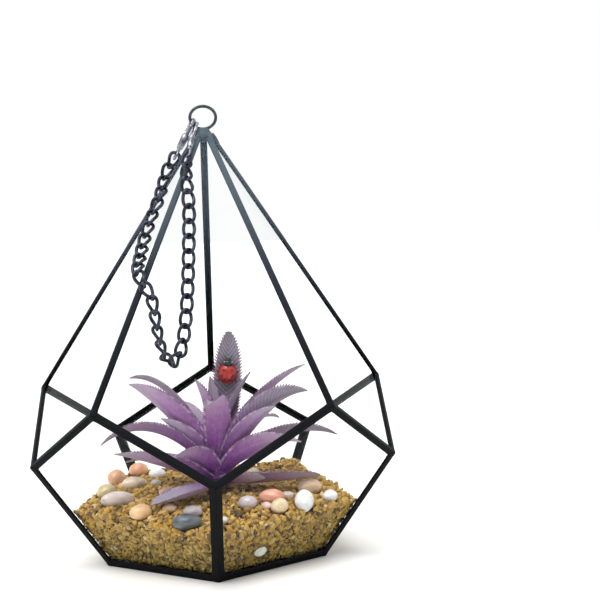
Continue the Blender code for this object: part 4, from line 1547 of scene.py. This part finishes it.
@dataclass
class Rosette:
    """The plant: a short stem and its channelled, toothed leaves."""

    steps: int = 44
    thickness: float = 0.95 * MM
    edge: float = 0.30 * MM
    channel: float = 0.46
    tooth: float = 1.35 * MM
    tooth_pitch: float = 1.65 * MM
    tooth_mark: float = 1.3
    # How much of a tooth's reach goes across, along and up
    tooth_way: Color = (0.8, 0.8, 0.4)
    ripple: float = 0.22 * MM
    # What each point tells the finish: its place along and across, the upper side, and how grey
    marks: tuple[str, ...] = ("along", "across", "upper", "grey")
    # Where the teeth stand, across the leaf
    rim: float = 0.96
    across: tuple[float, ...] = (-1.0, -0.86, -0.62, -0.34, -0.1, 0.1, 0.34, 0.62, 0.86, 1.0)
    stem: tuple[tuple[float, float], ...] = ((6.0, 27.0), (6.4, 40.0), (5.0, 52.0), (3.0, 65.5))
    leaves: tuple[LeafShape, ...] = (
        LeafShape(60, 52, (14, 88), (11, 120), 12.4, -3, 30, 1.0, 1.8, 0.58),
        LeafShape(-68, 42, (11, 92), (22, 85), 16.5, -14, 0, 0.1),
        LeafShape(205, 60, (5, 84), (12, 96), 9.0, 0, 20),
        LeafShape(120, 62, (3, 84), (6, 96), 8.0, 0, 0),
        LeafShape(8, 62, (7, 80), (19, 98), 9.0, 0, -30, 0.7),
        LeafShape(158, 50, (26, 98), (51, 95), 12.5, 0, 24, 0.8, 1.2),
        LeafShape(190, 46, (25, 86), (47, 95), 15.0, 0, 50, 0.1),
        LeafShape(196, 44, (14, 66), (31, 76), 12.0, 0, 45, 0.25),
        LeafShape(188, 42, (34, 84), (63, 63), 13.0, 0, 30, 0.55, 1.1),
        LeafShape(206, 38, (30, 54), (60, 61), 13.0, 0, 40, 0.3),
        LeafShape(230, 40, (18, 63), (38, 57), 15.0, 0, 25, 0.2),
        LeafShape(262, 39, (34, 39.5), (42, 36), 17.0, -30, 10, 0.35, 1.0, 0.6),
        LeafShape(14, 56, (24, 88), (51, 100), 10.0, 0, -40, 0.3),
        LeafShape(-10, 48, (25, 90), (50, 88), 15.0, 0, -50, 0.9, 1.4),
        LeafShape(-22, 46, (16, 72), (34, 81), 12.0, 0, -45, 0.25),
        LeafShape(-3, 46, (38, 73), (65, 63), 13.0, 0, -30, 0.9, 1.25),
        LeafShape(-33, 40, (24, 67), (52, 64), 16.0, 0, -40, 0.2),
        LeafShape(-35, 39, (30, 40), (50, 42), 17.0, 24, -14, 0.35, 1.0, 0.7),
        LeafShape(-60, 39, (22, 40.5), (28, 43.5), 15.0, 12, -14, 0.3, 1.0, 0.7),
        LeafShape(50, 44, (28, 76), (56, 66), 13.0, 0, 0, 0.4),
        LeafShape(80, 50, (22, 90), (46, 90), 13.0, 0, 0, 0.4),
        LeafShape(100, 38, (28, 50), (56, 42), 14.0, 0, 0, 0.3),
        LeafShape(122, 46, (26, 82), (54, 76), 13.0, 0, 0, 0.4),
        LeafShape(150, 38, (30, 54), (60, 46), 14.0, 0, 0, 0.3),
    )

    def blade(self, work: bmesh.types.BMesh, shape: LeafShape, number: int) -> None:
        """Add one leaf with its teeth to a mesh.

        Args:
            work: the mesh, which has the leaf's marks as point layers.
            shape: the leaf.
            number: the leaf's number, which varies its ripples.
        """
        layers = [work.verts.layers.float[name] for name in self.marks]

        def point(place: Vector, along: float, across: float, upper: float) -> bmesh.types.BMVert:
            """One point of the leaf, with its marks."""
            made = work.verts.new(place)
            for layer, value in zip(layers, (along, across, upper, shape.grey)):
                made[layer] = value
            return made

        loops = []
        for step in range(self.steps + 1):
            along = step / self.steps
            place, _, side, above, half = shape.frame(along)
            ripple = self.ripple * noise.noise(Vector((9.0 * along, number, 0.5)))
            upper, lower = [], []
            for share in self.across:
                rise = self.channel * half * abs(share) ** 1.35 + ripple * share * abs(share)
                thick = self.edge + (self.thickness - self.edge) * (1 - abs(share)) * (1 - 0.6 * along)
                spot = place + side * half * share + above * rise
                upper.append(point(spot, along, share, 1.0))
                lower.append(point(spot - above * thick, along, share, 0.0))
            loops.append(upper + lower[::-1])
        lofted(work, loops)
        for loop in (loops[0], loops[-1]):
            for place in range(len(self.across) - 1):
                work.faces.new([loop[place], loop[place + 1], loop[-2 - place], loop[-1 - place]])
        self.teeth(shape, point, work)

    def teeth(
        self, shape: LeafShape, point: Callable[..., bmesh.types.BMVert], work: bmesh.types.BMesh
    ) -> None:
        """Add the teeth along both edges of a leaf.

        Args:
            shape: the leaf.
            point: makes a point with its marks.
            work: the leaf's mesh.
        """
        marks = [shape.frame(step / 60)[0] for step in range(61)]
        length = sum((far - near).length for near, far in zip(marks, marks[1:]))
        count = int(length / self.tooth_pitch)
        for number in range(2, count):
            along = (number + 0.5) / count
            wobble = noise.noise(Vector((number * 0.9, shape.angle, shape.root)))
            reach = self.tooth * shape.teeth * (1 + 0.35 * wobble) * min(1, 3.2 * (1 - along) + 0.25)
            for way in (-1, 1):
                spots = []
                for shift, sink in ((-0.46, 0.0), (0.46, 0.0), (0.0, self.edge)):
                    place, heading, side, above, half = shape.frame(min(along + shift / count, 1))
                    spots.append(place + side * half * way * self.rim + above * (self.channel * half - sink))
                parts = (side * way, heading, above)
                tip = spots[-1] + sum((a * b for a, b in zip(parts, self.tooth_way)), Vector()) * reach
                corners = [point(spot, along, way * self.rim, 1.0) for spot in spots]
                spike = point(tip, along, way * self.tooth_mark, 1.0)
                for first, second in ((0, 1), (1, 2), (2, 0)):
                    work.faces.new([corners[first], corners[second], spike])
                work.faces.new(corners)

    def build(self) -> None:
        """The stem and every leaf, as one piece."""
        work = bmesh.new()
        for name in self.marks:
            work.verts.layers.float.new(name)
        turned(work, MIDDLE, self.stem, 20)
        for number, shape in enumerate(self.leaves):
            self.blade(work, shape, number)
        mesh = settled(work)
        mesh.shade_smooth()
        mesh.set_sharp_from_angle(angle=math.radians(55))
        fit("rosette_leaves", mesh, [LEAF_SKIN], Slot.LEAF, "rosette_plant")


@dataclass
class Ladybird:
    """The ladybird ornament: two wing cases with spots, a dark head with pale cheeks, legs and feelers."""

    seat: LeafShape
    place: float = 0.65
    lift: float = 2.1 * MM
    body: Color = (5.1, 5.7, 4.6)
    # Head, muzzle and cheeks: middle and half sizes, in mm, and the finish's number
    lobes: tuple[tuple[Color, Color, int], ...] = (
        ((0.0, 5.5, 1.9), (2.9, 2.0, 2.1), 1), ((0.0, 7.2, 1.5), (1.6, 1.1, 1.2), 1),
        ((-1.9, 6.15, 2.7), (0.62, 0.55, 0.5), 2), ((1.9, 6.15, 2.7), (0.62, 0.55, 0.5), 2),
    )
    # Spots on the wing cases: how far round from the back's ridge, how far along, and size
    spots: tuple[tuple[float, float, float], ...] = (
        (0.0, 0.66, 0.60), (0.46, 0.34, 0.62), (-0.46, 0.34, 0.62), (0.60, -0.20, 0.60),
        (-0.60, -0.20, 0.60), (0.30, -0.60, 0.55), (-0.30, -0.60, 0.55),
    )
    # The right legs and feeler: where each starts, bends and ends, in mm
    limbs: tuple[tuple[Color, Color, Color], ...] = (
        ((2.6, 4.2, 0.5), (4.6, 5.6, 0.7), (5.3, 6.3, -0.9)),
        ((4.4, 0.6, 0.4), (5.9, 1.0, 0.7), (6.4, 1.2, -0.8)),
        ((3.8, -3.2, 0.4), (5.2, -4.4, 0.7), (5.8, -5.2, -0.8)),
        ((0.9, 7.9, 1.9), (1.6, 9.0, 2.7), (2.3, 9.6, 2.6)),
    )
    limb: float = 0.42 * MM

    def shell_point(self, across: float, along: float, proud: float = 0.0) -> Vector:
        """A point of the wing cases.

        Args:
            across: from -1 to 1 across the shell.
            along: from -1 to 1 towards the head.
            proud: how far it stands out, in mm.

        Returns:
            The point, in mm.
        """
        flat = Vector((across, along, 0))
        if flat.length > 1:
            flat.normalize()
        up = math.sqrt(max(0.0, 1 - flat.length_squared))
        groove = 0.22 * math.exp(-((across / 0.035) ** 2)) * (0.4 + up) if along < 0.8 else 0
        way = Vector((flat.x / self.body[0], flat.y / self.body[1], up / self.body[2])).normalized()
        spot = Vector((flat.x * self.body[0], flat.y * self.body[1], up * self.body[2]))
        return spot + way * (proud - groove)

    def build(self) -> None:
        """The ladybird's piece."""
        work = bmesh.new()
        rings, steps = 18, 48
        top = work.verts.new(self.shell_point(0.0, 0.0))
        loops = []
        for ring in range(1, rings + 1):
            reach = math.sin(math.pi / 2 * ring / rings)
            turns = [math.tau * step / steps for step in range(steps)]
            spots = [self.shell_point(reach * math.sin(turn), reach * math.cos(turn)) for turn in turns]
            loops.append([work.verts.new(spot) for spot in spots])
        for step in range(steps):
            work.faces.new([top, loops[0][step - 1], loops[0][step]])
        lofted(work, loops, -1)
        for across, along, size in self.spots:
            self.disc(work, across, along, size)
        for lobe in self.lobes:
            self.ball(work, *lobe)
        limbs = []
        for side in (-1, 1):
            for bends in self.limbs:
                line = [Vector((x * side, y, z)) * MM for x, y, z in bends]
                limbs.append(wire(line, self.limb, False, (1.0, 0.9, 0.7)))
        bmesh.ops.scale(work, vec=Vector((MM, MM, MM)), verts=work.verts)
        mesh = settled(work)
        mesh.shade_smooth()
        for limb in limbs:
            limb.materials.append(None)
            limb.materials.append(None)
            limb.polygons.foreach_set("material_index", [1] * len(limb.polygons))
        whole = joined([mesh, *limbs])
        place, _, side, above, _ = self.seat.frame(self.place)
        whole.transform(posed(place + above * self.lift, -side, above.cross(-side), above))
        fit("ladybird_shell", whole, [RED, BLACK, CHEEK], Slot.LADYBIRD, "ladybird")

    def disc(self, work: bmesh.types.BMesh, across: float, along: float, size: float) -> None:
        """Add a slightly raised round spot that follows the shell.

        Args:
            work: the ladybird's mesh, in mm.
            across: the spot's place across the shell, from -1 to 1.
            along: its place towards the head, from -1 to 1.
            size: its radius.
        """
        loops = []
        for share, proud in ((0.6, 0.16), (0.9, 0.12), (1.0, -0.05)):
            loop = []
            for step in range(14):
                turn = math.tau * step / 14
                x = across + share * size * math.cos(turn) / self.body[0]
                y = along + share * size * math.sin(turn) / self.body[1]
                loop.append(work.verts.new(self.shell_point(x, y, proud)))
            loops.append(loop)
        for face in lofted(work, loops, 0):
            face.material_index = 1

    def ball(self, work: bmesh.types.BMesh, centre: Color, radii: Color, look: int) -> None:
        """Add a rounded lobe.

        Args:
            work: the ladybird's mesh, in mm.
            centre: the lobe's middle.
            radii: half its sizes.
            look: the number of its finish.
        """
        turn = Matrix.LocRotScale(Vector(centre), None, Vector(radii))
        made = bmesh.ops.create_uvsphere(work, u_segments=20, v_segments=12, radius=1, matrix=turn)
        for face in {face for vertex in made["verts"] for face in vertex.link_faces}:
            face.material_index = look


@dataclass
class Studio:
    """The camera, the pale floor and the soft light."""

    place: Vector = field(default_factory=lambda: Vector((-0.71, -726.8, 189.5)) * MM)
    pan: float = math.radians(3.93)
    tilt: float = math.radians(-4.17)
    roll: float = math.radians(-1.66)
    focal_share: float = 1347.5 / 600.0
    sensor: float = 36.0
    dim: float = 0.28
    bright: float = 0.94
    # The sun's direction, power and softness in degrees
    sun_way: Color = (0.30, 0.40, -1.0)
    sun_power: float = 2.4
    sun_softness: float = 48.0

    def camera(self) -> None:
        """The camera at the photograph's place."""
        near, rise = math.cos(self.tilt), math.sin(self.tilt)
        ahead = Vector((math.sin(self.pan) * near, math.cos(self.pan) * near, rise))
        level = Vector((math.cos(self.pan), -math.sin(self.pan), 0))
        top = level.cross(ahead)
        right = level * math.cos(self.roll) + top * math.sin(self.roll)
        up = top * math.cos(self.roll) - level * math.sin(self.roll)
        lens = bpy.data.cameras.new("camera")
        lens.sensor_width = self.sensor
        lens.lens = self.focal_share * self.sensor
        lens.clip_start, lens.clip_end = 0.02, 20.0
        made = linked("camera", lens)
        made.matrix_world = posed(self.place, right, up, -ahead)
        bpy.context.scene.camera = made

    def floor(self) -> None:
        """A wide sheet of paper under the terrarium."""
        mesh = bpy.data.meshes.new("floor")
        mesh.from_pydata([(-6, -6, 0), (6, -6, 0), (6, 6, 0), (-6, 6, 0)], [], [(0, 1, 2, 3)])
        mesh.materials.append(PAPER.material())
        made = linked("floor", mesh)
        made.location.z = -0.05 * MM

    def sun(self) -> None:
        """A broad soft light from far off."""
        light = bpy.data.lights.new("sun", "SUN")
        light.energy = self.sun_power
        light.angle = math.radians(self.sun_softness)
        made = linked("sun", light)
        made.rotation_mode = "QUATERNION"
        made.rotation_quaternion = Vector(self.sun_way).to_track_quat("-Z", "Y")

    def world(self) -> None:
        """A white surround, dimmer behind the camera, and full white where it is seen."""
        made = bpy.data.worlds.new("surround")
        made.use_nodes = True
        board = Board(made.node_tree)
        way = board.add("ShaderNodeTexCoord", output="Generated")
        glow = board.axis(way, "Y").between(-1.0, -0.2) * (self.bright - self.dim) + self.dim
        strength = glow.maths("MAXIMUM", glow, board.add("ShaderNodeLightPath", output="Is Camera Ray"))
        back = board.add("ShaderNodeBackground", None, {"Color": (1.0, 1.0, 1.0), "Strength": strength})
        board.show(back, "ShaderNodeOutputWorld")
        bpy.context.scene.world = made

    def build(self) -> None:
        """Set up the whole studio."""
        self.camera()
        self.floor()
        self.world()
        self.sun()
        view = bpy.context.scene.view_settings
        view.view_transform = "Standard"
        view.look = "None"
        view.exposure = 0.0


def main() -> None:
    """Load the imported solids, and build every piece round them."""
    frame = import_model()
    nodes = frame["nodes"]
    Studio().build()
    skeleton = Skeleton()
    strips = Frame(skeleton, nodes)
    strips.dress()
    strips.solder()
    peak = Peak(skeleton)
    peak.build()
    chain = Chain()
    chain.build()
    Clasp("clasp_left", peak.ring_point(210), Vector(chain.outer_route[0]) * MM).build()
    Clasp("clasp_right", peak.ring_point(232.5), Vector(chain.right_route[-1]) * MM).build()
    bed = GravelBed(skeleton)
    Pebbles(nodes, bed).build()
    bed.build()
    plant = Rosette()
    plant.build()
    Ladybird(plant.leaves[0]).build()


if __name__ == "__main__":
    logging.basicConfig(level=logging.INFO)
    main()
